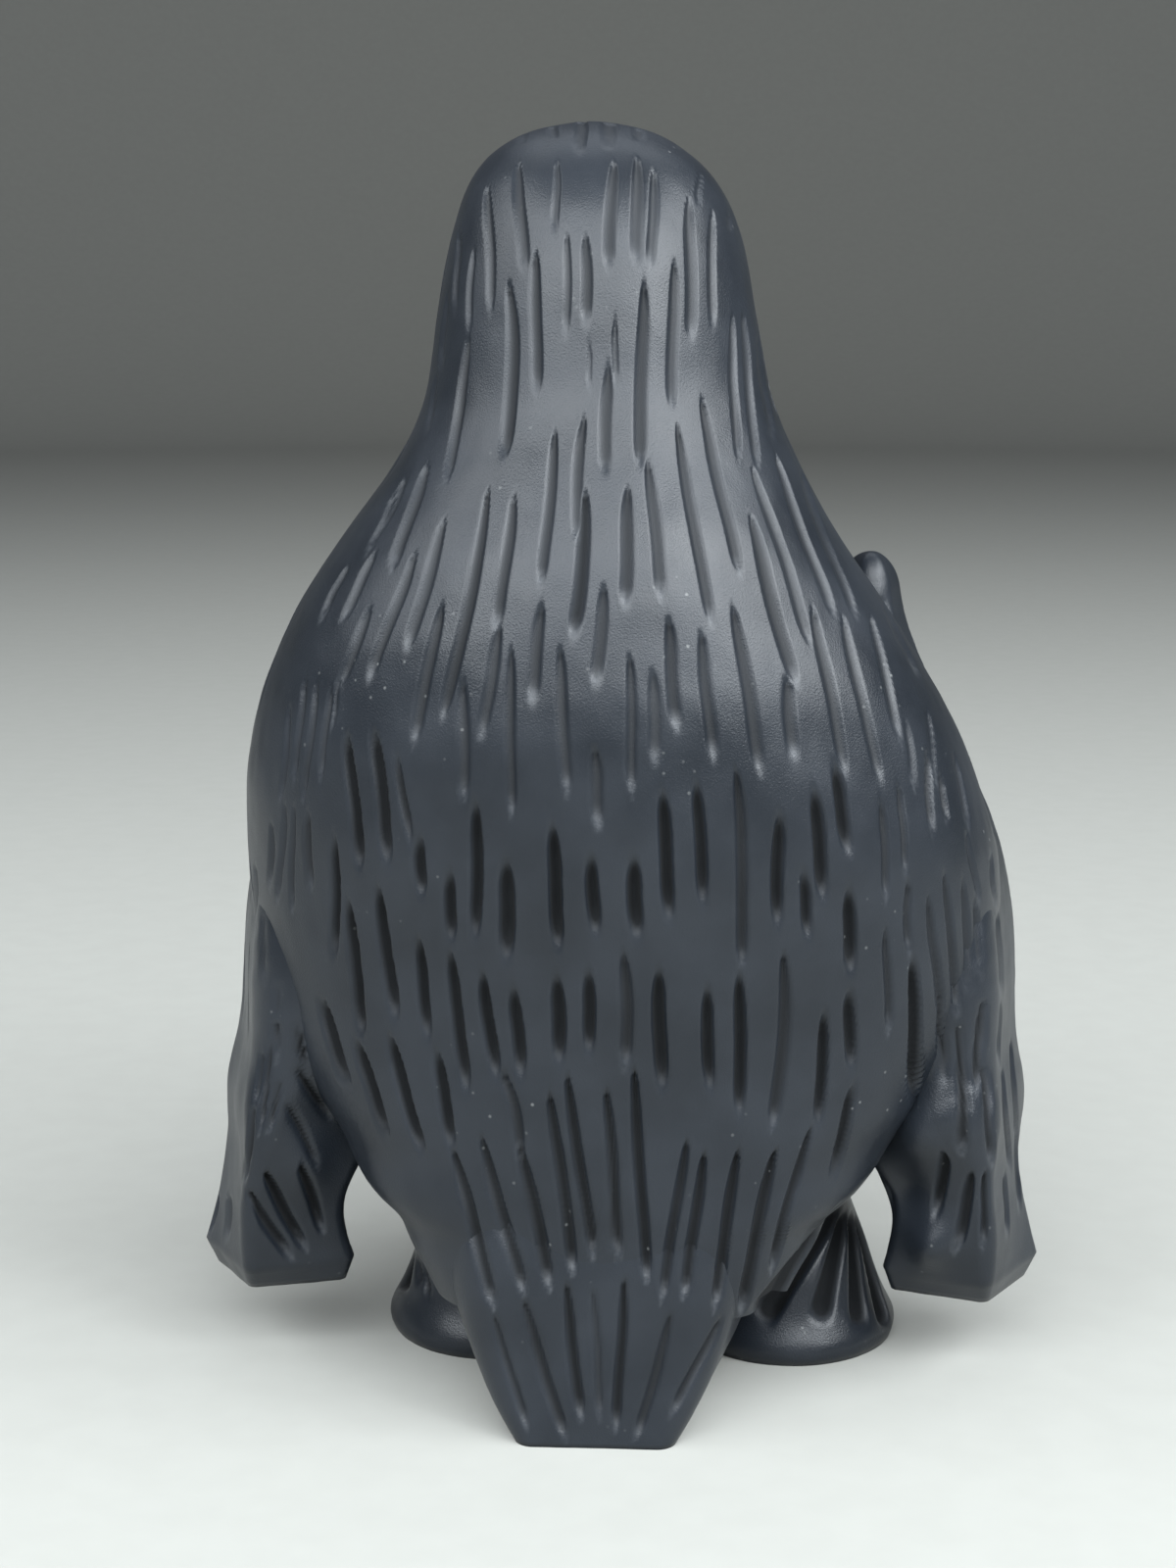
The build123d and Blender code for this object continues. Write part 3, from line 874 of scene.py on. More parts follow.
@dataclass(frozen=True)
class BodyForm:
    """The pear of torso and head: ovals whose sizes follow smooth curves up a leaning axis."""

    columns: int = 720
    torso_rows: int = 130
    head_rows: int = 66
    neck_steps: int = 3000
    measure_steps: int = 2000
    turn_steps: int = 4001
    back_crowding: float = 2.2
    crowd_start: float = -0.35
    crowd_fade: float = 0.5
    far_radius: float = 0.8 * BODY_HALF_WIDTH

    def profile(self) -> Spline:
        """The outline table as a curve, run along the distance between its rows.

        Returns:
            A curve of height, half width, belly reach, back reach and lean, in metres, and of the
            power that squares the ovals off.
        """
        scale = (FIGURE_HEIGHT, BODY_HALF_WIDTH, BELLY_REACH, BACK_REACH, HEAD_LEAN, 1.0)
        rows = np.array(BODY_SHARES) * np.array(scale)
        steps = np.linalg.norm(np.diff(rows[:, :4], axis=0), axis=1)
        return Spline(np.r_[0.0, np.cumsum(steps)], rows)

    def measure(self, height: np.ndarray | float, station: Station) -> np.ndarray:
        """One measure of the body at given heights.

        Args:
            height: The heights, in metres.
            station: Which measure.

        Returns:
            The measure at each height, in metres.
        """
        profile = self.profile()
        fine = profile.at(np.linspace(0.0, profile.knots[-1], self.measure_steps))
        return np.interp(height, fine[:, Station.HEIGHT.value], fine[:, station.value])

    def turns(self) -> np.ndarray:
        """Angles of the columns, three times as close together on the back as on the front.

        Returns:
            Angles round the axis, in radians, from the +X side.
        """
        fine = np.linspace(0.0, 2.0 * math.pi, self.turn_steps)
        crowd = 1.0 + self.back_crowding * smooth((np.sin(fine) - self.crowd_start) / self.crowd_fade)
        total = np.r_[0.0, np.cumsum((crowd[1:] + crowd[:-1]) / 2)]
        wanted = np.arange(self.columns) / self.columns * total[-1]
        return np.interp(wanted, total, fine)

    def surface(self) -> tuple[np.ndarray, np.ndarray, int]:
        """Points of the smooth form, before it is carved.

        A ring's X and Y follow the cosine and the sine of the columns' angles, both to the power of
        2 over the row's own, so 2 gives an oval and more squares it off.

        Returns:
            Rows by columns of points, their places on the far map, and the neck's row.
        """
        profile = self.profile()
        fine = np.linspace(0.0, profile.knots[-1], self.neck_steps)
        neck = np.interp(NECK_HEIGHT, profile.at(fine)[:, Station.HEIGHT.value], fine)
        low = np.linspace(0.0, neck, self.torso_rows)
        high = np.linspace(neck, profile.knots[-1], self.head_rows)[1:]
        places = np.r_[low, high]
        rows = profile.at(places)
        height, width, belly, back, lean, power = (rows[:, [station.value]] for station in Station)
        turns = self.turns()[None, :]
        across, along = np.cos(turns), np.sin(turns)
        x = lean + width * np.sign(across) * np.abs(across) ** (2.0 / power)
        y = (back + belly) / 2 * np.sign(along) * np.abs(along) ** (2.0 / power)
        y = y + (back - belly) / 2
        z = np.broadcast_to(height, x.shape)
        front = np.mod(turns + math.pi / 2 + math.pi, 2.0 * math.pi) - math.pi
        far_x = np.broadcast_to(front * self.far_radius, x.shape)
        far = np.stack((far_x, -z), axis=-1) * FAR_MAP_SCALE
        return np.stack((x, y, z), axis=-1), far, self.torso_rows - 1


@dataclass
class Trunk:
    """Torso and head castings, carved as one surface and parted at the neck."""

    form: BodyForm
    plug_radius: float = 12.15 * MILLIMETRE
    plug_thickness: float = 8.0 * MILLIMETRE
    plug_setback: float = 2.0 * MILLIMETRE
    far: FarTiers = FarTiers(
        low=22.0 * MILLIMETRE,
        high=186.0 * MILLIMETRE,
        tier=17.0 * MILLIMETRE,
        reach=180.0 * MILLIMETRE,
        depth=0.8 * STROKE_DEPTH,
        seed=11,
    )

    def build(self) -> dict[str, bpy.types.Object]:
        """Carve the body and part it.

        Returns:
            The torso's and the head's object by name.
        """
        points, far_spots, neck = self.form.surface()
        worked, cut, rub_and_highlight = Carver(self.far.carving()).work(points, far_spots)
        normals = grid_normals(worked)
        low = slice(0, neck + 1)
        high = slice(neck, None)
        torso = self.seated(worked[low], cut[low], rub_and_highlight[low], normals[low])
        head = Skin("head_skin", worked[high], cut[high], rub_and_highlight[high], normals[high])
        return {"torso": torso.mesh(), "head": head.mesh()}

    def seated(
        self, points: np.ndarray, cut: np.ndarray, rub_and_highlight: np.ndarray, normals: np.ndarray
    ) -> Skin:
        """The torso with a round seat for the plug sunk into its underside.

        Args:
            points: Rings of the torso, lowest first.
            cut: Carved depth at each point.
            rub_and_highlight: Rub at each point, worn paint and a painted highlight.
            normals: Outward directions.

        Returns:
            The torso's skin with the rings of the seat added below.
        """
        ring = points[0]
        middle = np.array((0.0, self.plug_setback, ring[:, 2].mean()))
        way = (ring - middle) * (1.0, 1.0, 0.0)
        way = way / np.linalg.norm(way, axis=1, keepdims=True)
        mouth = middle + way * self.plug_radius
        deep = mouth + np.array((0.0, 0.0, self.plug_thickness))
        rings = np.concatenate((deep[None], mouth[None], points))
        none = np.zeros((2, len(ring)))
        down = np.broadcast_to((0.0, 0.0, -1.0), (1,) + ring.shape)
        turned = np.concatenate((-way[None], down, normals))
        cut = np.concatenate((none, cut))
        rub_and_highlight = np.concatenate((none, rub_and_highlight))
        return Skin("torso_skin", rings, cut, rub_and_highlight, turned)


def rounded_rings(
    corners: np.ndarray, radius: np.ndarray, line_steps: int, corner_steps: int
) -> np.ndarray:
    """Rounded polygons: straight sides joined by arcs that touch them near each corner.

    Args:
        corners: Rows by corners of flat points, counter-clockwise.
        radius: Rounding of each corner.
        line_steps: Points along each side.
        corner_steps: Points round each corner.

    Returns:
        Rows by columns of flat points.
    """
    before = np.roll(corners, 1, axis=1) - corners
    after = np.roll(corners, -1, axis=1) - corners
    before_length = np.linalg.norm(before, axis=-1, keepdims=True)
    after_length = np.linalg.norm(after, axis=-1, keepdims=True)
    before = before / before_length
    after = after / after_length
    bend = np.sum(before * after, axis=-1, keepdims=True)
    longest_share = 0.48
    setback = radius[:, :, None] * np.sqrt((1.0 + bend) / np.maximum(1.0 - bend, TINY))
    setback = np.minimum(setback, longest_share * np.minimum(before_length, after_length))
    enter = corners + before * setback
    leave = corners + after * setback
    following = np.roll(enter, -1, axis=1)
    reach = setback * np.sqrt(np.maximum(1.0 - bend, TINY) / (1.0 + bend))
    inward = before + after
    inward = inward / np.linalg.norm(inward, axis=-1, keepdims=True)
    middle = corners + inward * np.hypot(setback, reach)
    sweep = math.pi - np.arccos(np.clip(bend, -1.0, 1.0))
    first = (enter - middle)[:, :, None] / np.sin(sweep)[:, :, None]
    second = (leave - middle)[:, :, None] / np.sin(sweep)[:, :, None]
    turn = (np.arange(corner_steps) / corner_steps)[None, None, :, None]
    arcs = np.sin((1.0 - turn) * sweep[:, :, None]) * first
    arcs = middle[:, :, None] + arcs + np.sin(turn * sweep[:, :, None]) * second
    run = (np.arange(line_steps) / line_steps)[None, None, :, None]
    lines = (1 - run) * leave[:, :, None] + run * following[:, :, None]
    return np.concatenate((arcs, lines), axis=2).reshape(len(corners), -1, 2)


@dataclass
class Flipper:
    """One flipper: rounded triangles from a domed wrist down, with a straight bevel round the tip."""

    side: Side
    rows: int = 220
    bevel_rows: int = 5
    edge_steps: int = 52
    corner_steps: int = 18
    crowding: float = 1.5
    thickness: float = 0.416 * BODY_HALF_WIDTH
    breadth: float = 0.368 * BODY_HALF_WIDTH
    corner_radius: float = 3.0 * MILLIMETRE
    tip_shift: float = 0.2 * MILLIMETRE
    lean_share: float = 0.5
    dome_share: float = 0.055
    least_dome_share: float = 0.02
    far_shift: float = 250.0 * MILLIMETRE

    def stations(self, drops: np.ndarray) -> np.ndarray:
        """The table's values between its rows, straight over the bevel.

        Args:
            drops: Places from 0 at the wrist to 1 at the tip.

        Returns:
            One row of the table's values for each place.
        """
        table = np.array(FLIPPER_SHARES)
        curve = Spline(table[:-1, 0], table[:-1]).at(np.minimum(drops, table[-2, 0]))
        share = (drops - table[-2, 0]) / (table[-1, 0] - table[-2, 0])
        bevel = table[-2] + share[:, None] * (table[-1] - table[-2])
        return np.where((share > 0)[:, None], bevel, curve)

    def surface(self) -> tuple[np.ndarray, np.ndarray]:
        """Points of the smooth form, tip first.

        A ring is a rounded triangle of root, outer edge and back ridge. Over the wrist it shrinks
        about its middle as the half chord of a circle does, which makes a dome.

        Returns:
            Rows by columns of points, and their places on the far map.
        """
        low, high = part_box(f"{self.side.word}_flipper")
        edge = FLIPPER_SHARES[-2][0]
        run = np.linspace(1.0, 0.0, self.rows)[1:]
        drops = np.r_[np.linspace(1.0, edge, self.bevel_rows), edge * run**self.crowding]
        places = self.stations(drops).T
        root, root_back, outer, outer_back, ridge, ridge_back, rounding, ridge_rounding = places[1:]
        height = high.z + (low.z - high.z) * drops
        lean = BodyForm().measure(height, Station.LEAN)
        middle = self.lean_share * lean + self.tip_shift * drops**3
        zero = np.zeros_like(root)
        across = np.stack((zero, outer, ridge), axis=1) * self.thickness
        across = (BODY_HALF_WIDTH * root)[:, None] + across
        along = np.stack((zero, outer_back, ridge_back), axis=1) * self.breadth
        along = (BELLY_REACH * root_back)[:, None] + along
        corners = np.stack((middle[:, None] + self.side.value * across, along), axis=-1)
        radius = self.corner_radius * np.stack((rounding, rounding, ridge_rounding), axis=1)
        rise = 1.0 - np.clip(drops / self.dome_share, 0.0, 1.0)
        dome = np.sqrt(np.maximum(1.0 - rise**2, self.least_dome_share**2))[:, None]
        centre = corners.mean(axis=1, keepdims=True)
        corners = centre + (corners - centre) * dome[..., None]
        radius = radius * dome
        if self.side is Side.RIGHT:
            corners = corners[:, ::-1]
            radius = radius[:, ::-1]
        points = lifted(rounded_rings(corners, radius, self.edge_steps, self.corner_steps), height)
        far = np.stack((points[..., 1] + self.far_shift, -points[..., 2]), axis=-1)
        return points, far * FAR_MAP_SCALE

    def build(self) -> bpy.types.Object:
        """Carve and mesh the flipper.

        Returns:
            The flipper's object.
        """
        far = FarTiers(
            low=20.0 * MILLIMETRE,
            high=128.0 * MILLIMETRE,
            tier=20.0 * MILLIMETRE,
            reach=300.0 * MILLIMETRE,
            depth=0.7 * STROKE_DEPTH,
            seed=20 + self.side.value,
        )
        carver = Carver(far.carving(), seed=8 + self.side.value, swellings=FLIPPER_SWELLINGS)
        worked, cut, rub_and_highlight = carver.work(*self.surface())
        return Skin(f"{self.side.word}_flipper_skin", worked, cut, rub_and_highlight).mesh()


@dataclass
class Tail:
    """The tail wedge: rounded trapezia from the table up into the rump."""

    rows: int = 70
    edge_steps: int = 60
    corner_steps: int = 24
    seed: int = 15
    height: float = 0.29 * FIGURE_HEIGHT
    half_width: float = 0.576 * BODY_HALF_WIDTH
    reach: float = CAD_HIGH.y
    skew: float = 3.0 * MILLIMETRE
    corner_radius: float = 10.0 * MILLIMETRE

    def build(self) -> bpy.types.Object:
        """Carve and mesh the tail; each ring has a narrower back edge and a wider front edge.

        Returns:
            The tail's object.
        """
        levels = np.linspace(0.0, 1.0, self.rows)
        level, back_width, back_place, front_width, front_place, rounding = read_table(TAIL_SHARES, levels)
        widths = np.stack((front_width, back_width, -back_width, -front_width), axis=1)
        across = self.skew + self.half_width * widths
        along = self.reach * np.stack((front_place, back_place, back_place, front_place), axis=1)
        corners = np.stack((across, along), axis=-1)
        radius = np.broadcast_to(self.corner_radius * rounding[:, None], across.shape)
        flat = rounded_rings(corners, radius, self.edge_steps, self.corner_steps)
        worked, cut, rub_and_highlight = Carver(seed=self.seed).work(lifted(flat, self.height * level))
        worked[0, :, 2] = 0.0
        return Skin("tail_skin", worked, cut, rub_and_highlight).mesh()


@dataclass
class Foot:
    """One foot: a fluted bell that flares onto a webbed sole with three toes."""

    side: Side
    rows: int = 60
    columns: int = 240
    sole_rows: int = 26
    edge_rows: int = 7
    crowding: float = 0.85
    leg_height: float = 0.18 * FIGURE_HEIGHT
    leg_half_width: float = 0.296 * BODY_HALF_WIDTH
    leg_half_depth: float = 0.304 * BODY_HALF_WIDTH
    setback: float = 3.5 * MILLIMETRE
    web_thickness: float = 6.5 * MILLIMETRE
    web_rounding: float = 2.0 * MILLIMETRE
    web_root_share: float = 0.75
    web_sink_share: float = 0.12
    web_sink_start_share: float = 0.35
    web_crease_share: float = 0.25
    toe_half_spread: float = 9.0 * MILLIMETRE
    toe_radius: float = 5.2 * MILLIMETRE
    toe_reach: float = 46.8 * MILLIMETRE
    toe_side_share: float = 0.90

    def centre(self) -> float:
        """Sideways place of the foot.

        Returns:
            Its X, in metres.
        """
        low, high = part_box(f"{self.side.word}_foot")
        return (low.x + high.x) / 2

    def bell(self) -> bpy.types.Object:
        """The leg's bell: ovals that widen downwards, carved with strokes that run out from its top.

        Returns:
            The bell's object.
        """
        levels = np.linspace(0.0, 1.0, self.rows) ** self.crowding
        level, width, depth = read_table(LEG_SHARES, levels)
        turns = once_round(self.columns)
        x = self.centre() + self.leg_half_width * width[:, None] * np.cos(turns)
        y = -self.setback + self.leg_half_depth * depth[:, None] * np.sin(turns)
        points = lifted(np.stack((x, y), axis=-1), self.leg_height * level)
        worked, cut, rub_and_highlight = Carver(seed=30 + self.side.value).work(points)
        worked[0, :, 2] = 0.0
        return Skin(f"{self.side.word}_foot_skin", worked, cut, rub_and_highlight).mesh()

    def sole_edge(self, ways: np.ndarray) -> np.ndarray:
        """How far the sole reaches from the leg's middle: the farthest of heel, web and toes.

        The web is a fan with straight sides, each a line that a ray from the middle meets; the
        heel and the toes are circles.

        Args:
            ways: Flat unit directions.

        Returns:
            The reach in each direction, in metres.
        """
        toe_y = self.setback + self.toe_radius - self.toe_reach
        side_y = toe_y * self.toe_side_share
        spread = self.toe_half_spread + self.toe_radius
        root = self.web_root_share * self.leg_half_width
        fan = ((-root, 0.0), (-spread, side_y), (-self.toe_half_spread, side_y), (0.0, toe_y))
        fan = np.array(fan + tuple((-x, y) for x, y in fan[2::-1]))
        lines = fan[1:] - fan[:-1]
        turned = ways[:, :1] * lines[:, 1] - ways[:, 1:] * lines[:, 0]
        least_turn = 1e-9
        turned = np.where(np.abs(turned) < least_turn, least_turn, turned)
        met = (fan[:-1, 0] * lines[:, 1] - fan[:-1, 1] * lines[:, 0]) / turned
        part = (fan[:-1, 0] * ways[:, 1:] - fan[:-1, 1] * ways[:, :1]) / turned
        web = np.where((part > -TINY) & (part < 1.0 + TINY) & (met > 0.0), met, 0.0).max(axis=1)
        toes = np.array(((-self.toe_half_spread, side_y), (0.0, toe_y), (self.toe_half_spread, side_y)))
        ahead = ways @ toes.T
        inside = ahead**2 - np.sum(toes**2, axis=1) + self.toe_radius**2
        round_toes = np.where(inside > 0.0, ahead + np.sqrt(np.maximum(inside, 0.0)), 0.0)
        heel = np.full(len(ways), root)
        return np.maximum(np.maximum(web, round_toes.max(axis=1)), heel)

    def sole(self) -> bpy.types.Object:
        """The webbed sole: a low cushion whose edge swells into three toes.

        Its top is flat with a rounded edge, and sinks a little between the toes.

        Returns:
            The sole's object.
        """
        turns = once_round(self.columns)
        ways = np.column_stack((np.cos(turns), np.sin(turns)))
        edge = self.sole_edge(ways)[:, None]
        bend = np.linspace(0.0, 0.5 * math.pi, self.edge_rows)[:, None, None]
        bevel = edge - self.web_rounding * (1.0 - np.cos(bend))
        shares = np.linspace(1.0, 0.0, self.sole_rows)[1:-1, None, None]
        reach = np.concatenate((edge[None], bevel, bevel[-1:] * shares))
        rise = self.web_thickness - self.web_rounding * (1.0 - np.sin(bend))
        flat = np.full((len(shares), 1, 1), self.web_thickness)
        height = np.concatenate((np.zeros((1, 1, 1)), rise, flat))
        spread = np.arctan2(self.toe_half_spread, self.toe_reach - self.toe_radius - self.setback)
        ahead = np.abs(np.arctan2(ways[:, 0], -ways[:, 1])) - 0.5 * spread
        crease = np.exp(-((ahead / (self.web_crease_share * spread)) ** 2))[None, :, None]
        crease = crease * smooth(reach / edge - self.web_sink_start_share)
        sunk = height > 0.5 * self.web_thickness
        height = height - self.web_sink_share * self.web_thickness * crease * sunk
        middle = np.array((self.centre(), -self.setback))
        points = np.concatenate((middle + reach * ways, height), axis=-1)
        none = np.zeros(points.shape[:2])
        return Skin(f"{self.side.word}_sole_skin", points, none, none).mesh()


@dataclass
class Beak:
    """A short tapering beak with a line between its halves."""

    rows: int = 60
    columns: int = 120
    length: float = 18.0 * MILLIMETRE
    root: float = 8.0 * MILLIMETRE
    half_width: float = 7.0 * MILLIMETRE
    half_height: float = 7.5 * MILLIMETRE
    height: float = 0.87 * FIGURE_HEIGHT
    drop: float = 4.0 * MILLIMETRE
    groove_shade_place: float = -0.12
    groove_shade_reach: float = 0.10
    groove_shade_depth_share: float = 0.07

    def build(self) -> bpy.types.Object:
        """Ovals along a falling middle line, pinched by a bell curve into a groove on both sides.

        Returns:
            The beak's object.
        """
        place, width, tall = read_table(BEAK_SHARES, np.linspace(1.0, 0.0, self.rows))
        turns = once_round(self.columns)
        lean = BodyForm().measure(self.height, Station.LEAN)
        face = -BodyForm().measure(self.height, Station.BELLY)
        gap = (np.sin(turns) - self.groove_shade_place) / self.groove_shade_reach
        pinch = 1.0 - self.groove_shade_depth_share * np.exp(-(gap**2))
        x = lean + self.half_width * width[:, None] * np.cos(turns) * pinch
        y = face + self.root - (self.root + self.length) * place
        z = (self.height - self.drop * place)[:, None]
        z = z + self.half_height * tall[:, None] * np.sin(turns)
        points = np.stack((x, np.broadcast_to(y[:, None], x.shape), z), axis=-1)[:, ::-1]
        none = np.zeros(points.shape[:2])
        return Skin("beak_skin", points, none, none).mesh()


class NodeKit:
    """Short ways to build a material's node tree."""

    def __init__(self, name: str) -> None:
        """Start an empty material.

        Args:
            name: The material's name.
        """
        self.material = bpy.data.materials.new(name)
        self.material.use_nodes = True
        self.tree = self.material.node_tree
        self.shader = self.tree.nodes["Principled BSDF"]

    def add(self, kind: str, **inputs: object) -> bpy.types.Node:
        """Add a node and set or link its inputs.

        Args:
            kind: The node's type.
            inputs: Values or sockets by input name, with underscores for spaces.

        Returns:
            The node.
        """
        node = self.tree.nodes.new(kind)
        for key, value in inputs.items():
            self.feed(node.inputs[key.replace("_", " ")], value)
        return node

    def feed(self, socket: bpy.types.NodeSocket, value: object) -> None:
        """Link a socket to another, or give it a value.

        Args:
            socket: The input.
            value: An output socket or a plain value.
        """
        if isinstance(value, bpy.types.NodeSocket):
            self.tree.links.new(value, socket)
        else:
            socket.default_value = value

    def place(self) -> bpy.types.NodeSocket:
        """The object's own coordinates, in metres."""
        return self.add("ShaderNodeTexCoord").outputs["Object"]

    def carved(self, label: str) -> bpy.types.NodeSocket:
        """One of the values that the carving leaves on the points."""
        node = self.add("ShaderNodeAttribute")
        node.attribute_name = label
        return node.outputs["Fac"]

    def noise(self, scale: float, detail: float) -> bpy.types.NodeSocket:
        """Cloudy noise fixed to the object.

        Args:
            scale: Waves to the metre.
            detail: How many finer layers it has.

        Returns:
            The noise's value.
        """
        node = self.add("ShaderNodeTexNoise", Vector=self.place(), Scale=scale, Detail=detail)
        return node.outputs["Fac"]

    def ramp(self, value: object, low: float, high: float, start: float, end: float) -> object:
        """Map one range of values to another, held at both ends.

        Args:
            value: The socket to map.
            low: Its value at the start.
            high: Its value at the end.
            start: The result at the start.
            end: The result at the end.

        Returns:
            The mapped socket.
        """
        ends = {"From_Min": low, "From_Max": high, "To_Min": start, "To_Max": end}
        return self.add("ShaderNodeMapRange", Value=value, **ends).outputs["Result"]

    def mix(self, share: object, first: object, second: object) -> bpy.types.NodeSocket:
        """Mix two colours.

        Args:
            share: How much of the second one there is.
            first: A colour or a socket.
            second: A colour or a socket.

        Returns:
            The mixed colour.
        """
        node = self.tree.nodes.new("ShaderNodeMix")
        node.data_type = "RGBA"
        self.feed(node.inputs[0], share)
        self.feed(node.inputs[6], first)
        self.feed(node.inputs[7], second)
        return node.outputs[2]

    def blend(self, share: object, first: object, second: object) -> bpy.types.NodeSocket:
        """Mix two plain values.

        Args:
            share: How much of the second one there is.
            first: A value or a socket.
            second: A value or a socket.

        Returns:
            The mixed value.
        """
        node = self.tree.nodes.new("ShaderNodeMix")
        self.feed(node.inputs[0], share)
        self.feed(node.inputs[2], first)
        self.feed(node.inputs[3], second)
        return node.outputs[0]

    def times(self, first: object, second: object) -> bpy.types.NodeSocket:
        """Multiply two values.

        Args:
            first: A value or a socket.
            second: A value or a socket.

        Returns:
            The product.
        """
        node = self.tree.nodes.new("ShaderNodeMath")
        node.operation = "MULTIPLY"
        self.feed(node.inputs[0], first)
        self.feed(node.inputs[1], second)
        return node.outputs[0]

    def bump(self, value: object, distance: float, strength: float) -> None:
        """Give the shader a fine relief.

        Args:
            value: The relief's height, from 0 to 1.
            distance: What a height of 1 stands for, in metres.
            strength: How much of it shows.
        """
        node = self.add("ShaderNodeBump", Strength=strength, Distance=distance, Height=value)
        self.feed(self.shader.inputs["Normal"], node.outputs["Normal"])


@dataclass(frozen=True)
class PaintFinish:
    """Matte blue-black paint over a pale casting: cloudy, dusty, with painted shade in the strokes.

    At the strokes' ends the paint is rubbed, partly worn and partly a painted highlight.
    """

    name: str = "black_paint"
    # groove colour: painted shade in the strokes' hollows
    groove_shade: tuple = (0.001, 0.0015, 0.002, 1.0)
    deep: tuple = (0.0085, 0.0112, 0.0155, 1.0)
    plain: tuple = (0.0138, 0.0173, 0.023, 1.0)
    # rubbed colour: worn paint and a painted highlight at the strokes' lower ends
    rubbed_and_highlight: tuple = (0.065, 0.07, 0.078, 1.0)
    dust: tuple = (0.12, 0.125, 0.125, 1.0)
    groove_shade_share: float = 0.85
    rubbed_and_highlight_share: float = 0.62
    dust_share: float = 0.8
    smooth_rough: float = 0.31
    coarse_rough: float = 0.41
    groove_shade_rough: float = 0.95
    specular: float = 0.40
    cloud_scale: float = 70.0
    wear_and_highlight_scale: float = 900.0
    speck_scale: float = 330.0
    patch_scale: float = 55.0
    grain_scale: float = 3600.0
    grain_height: float = 0.00006
    grain_strength: float = 0.8

    def make(self) -> bpy.types.Material:
        """Build the material: cloudy colour, then painted shade in the grooves, worn paint and a painted
        highlight at their ends, and specks of dust over it.

        Returns:
            The material.
        """
        kit = NodeKit(self.name)
        cloud = kit.noise(self.cloud_scale, 4.0)
        cut = kit.carved("cut")
        colour = kit.mix(kit.ramp(cloud, 0.35, 0.65, 0.0, 1.0), self.deep, self.plain)
        # Painted shade: the colour sinks towards near-black with the carved depth
        colour = kit.mix(kit.ramp(cut, 0.2, 0.9, 0.0, self.groove_shade_share), colour, self.groove_shade)
        # Worn paint and painted highlight: a paler grey at the strokes' lower ends, broken up by noise
        broken = kit.ramp(kit.noise(self.wear_and_highlight_scale, 3.0), 0.35, 0.62, 0.15, 1.0)
        wear_and_highlight = kit.times(kit.times(kit.carved("rub_and_highlight"), broken), self.rubbed_and_highlight_share)
        colour = kit.mix(wear_and_highlight, colour, self.rubbed_and_highlight)
        cells = kit.add("ShaderNodeTexVoronoi", Vector=kit.place(), Scale=self.speck_scale)
        specks = kit.ramp(cells.outputs["Distance"], 0.05, 0.11, 1.0, 0.0)
        patchy = kit.ramp(kit.noise(self.patch_scale, 2.0), 0.52, 0.66, 0.0, self.dust_share)
        colour = kit.mix(kit.times(specks, patchy), colour, self.dust)
        kit.feed(kit.shader.inputs["Base Color"], colour)
        rough = kit.ramp(cloud, 0.3, 0.7, self.smooth_rough, self.coarse_rough)
        rough = kit.blend(kit.ramp(cut, 0.2, 0.9, 0.0, 1.0), rough, self.groove_shade_rough)
        kit.feed(kit.shader.inputs["Roughness"], rough)
        kit.shader.inputs["Specular IOR Level"].default_value = self.specular
        kit.bump(kit.noise(self.grain_scale, 2.0), self.grain_height, self.grain_strength)
        return kit.material


@dataclass(frozen=True)
class PlainFinish:
    """A plain material with a faint cloud in its colour."""

    name: str
    first: tuple
    second: tuple
    rough: float
    metal: float = 0.0
    scale: float = 120.0

    def make(self) -> bpy.types.Material:
        """Build the material.

        Returns:
            The material.
        """
        kit = NodeKit(self.name)
        share = kit.ramp(kit.noise(self.scale, 3.0), 0.35, 0.65, 0.0, 1.0)
        kit.feed(kit.shader.inputs["Base Color"], kit.mix(share, self.first, self.second))
        kit.shader.inputs["Roughness"].default_value = self.rough
        kit.shader.inputs["Metallic"].default_value = self.metal
        return kit.material


@dataclass(frozen=True)
class WoodFinish:
    """Turned hardwood with grain that runs up the piece in stretched noise."""

    name: str = "dowel_wood"
    light: tuple = (0.42, 0.28, 0.15, 1.0)
    dark: tuple = (0.26, 0.15, 0.07, 1.0)
    rough: float = 0.6
    grain_scale: float = 900.0
    grain_stretch: tuple = (1.0, 1.0, 0.06)

    def make(self) -> bpy.types.Material:
        """Build the material.

        Returns:
            The material.
        """
        kit = NodeKit(self.name)
        drawn = kit.add("ShaderNodeMapping", Vector=kit.place(), Scale=self.grain_stretch)
        drawn = drawn.outputs["Vector"]
        grain = kit.add("ShaderNodeTexNoise", Vector=drawn, Scale=self.grain_scale, Detail=4.0)
        share = kit.ramp(grain.outputs["Fac"], 0.35, 0.65, 0.0, 1.0)
        kit.feed(kit.shader.inputs["Base Color"], kit.mix(share, self.light, self.dark))
        kit.shader.inputs["Roughness"].default_value = self.rough
        return kit.material


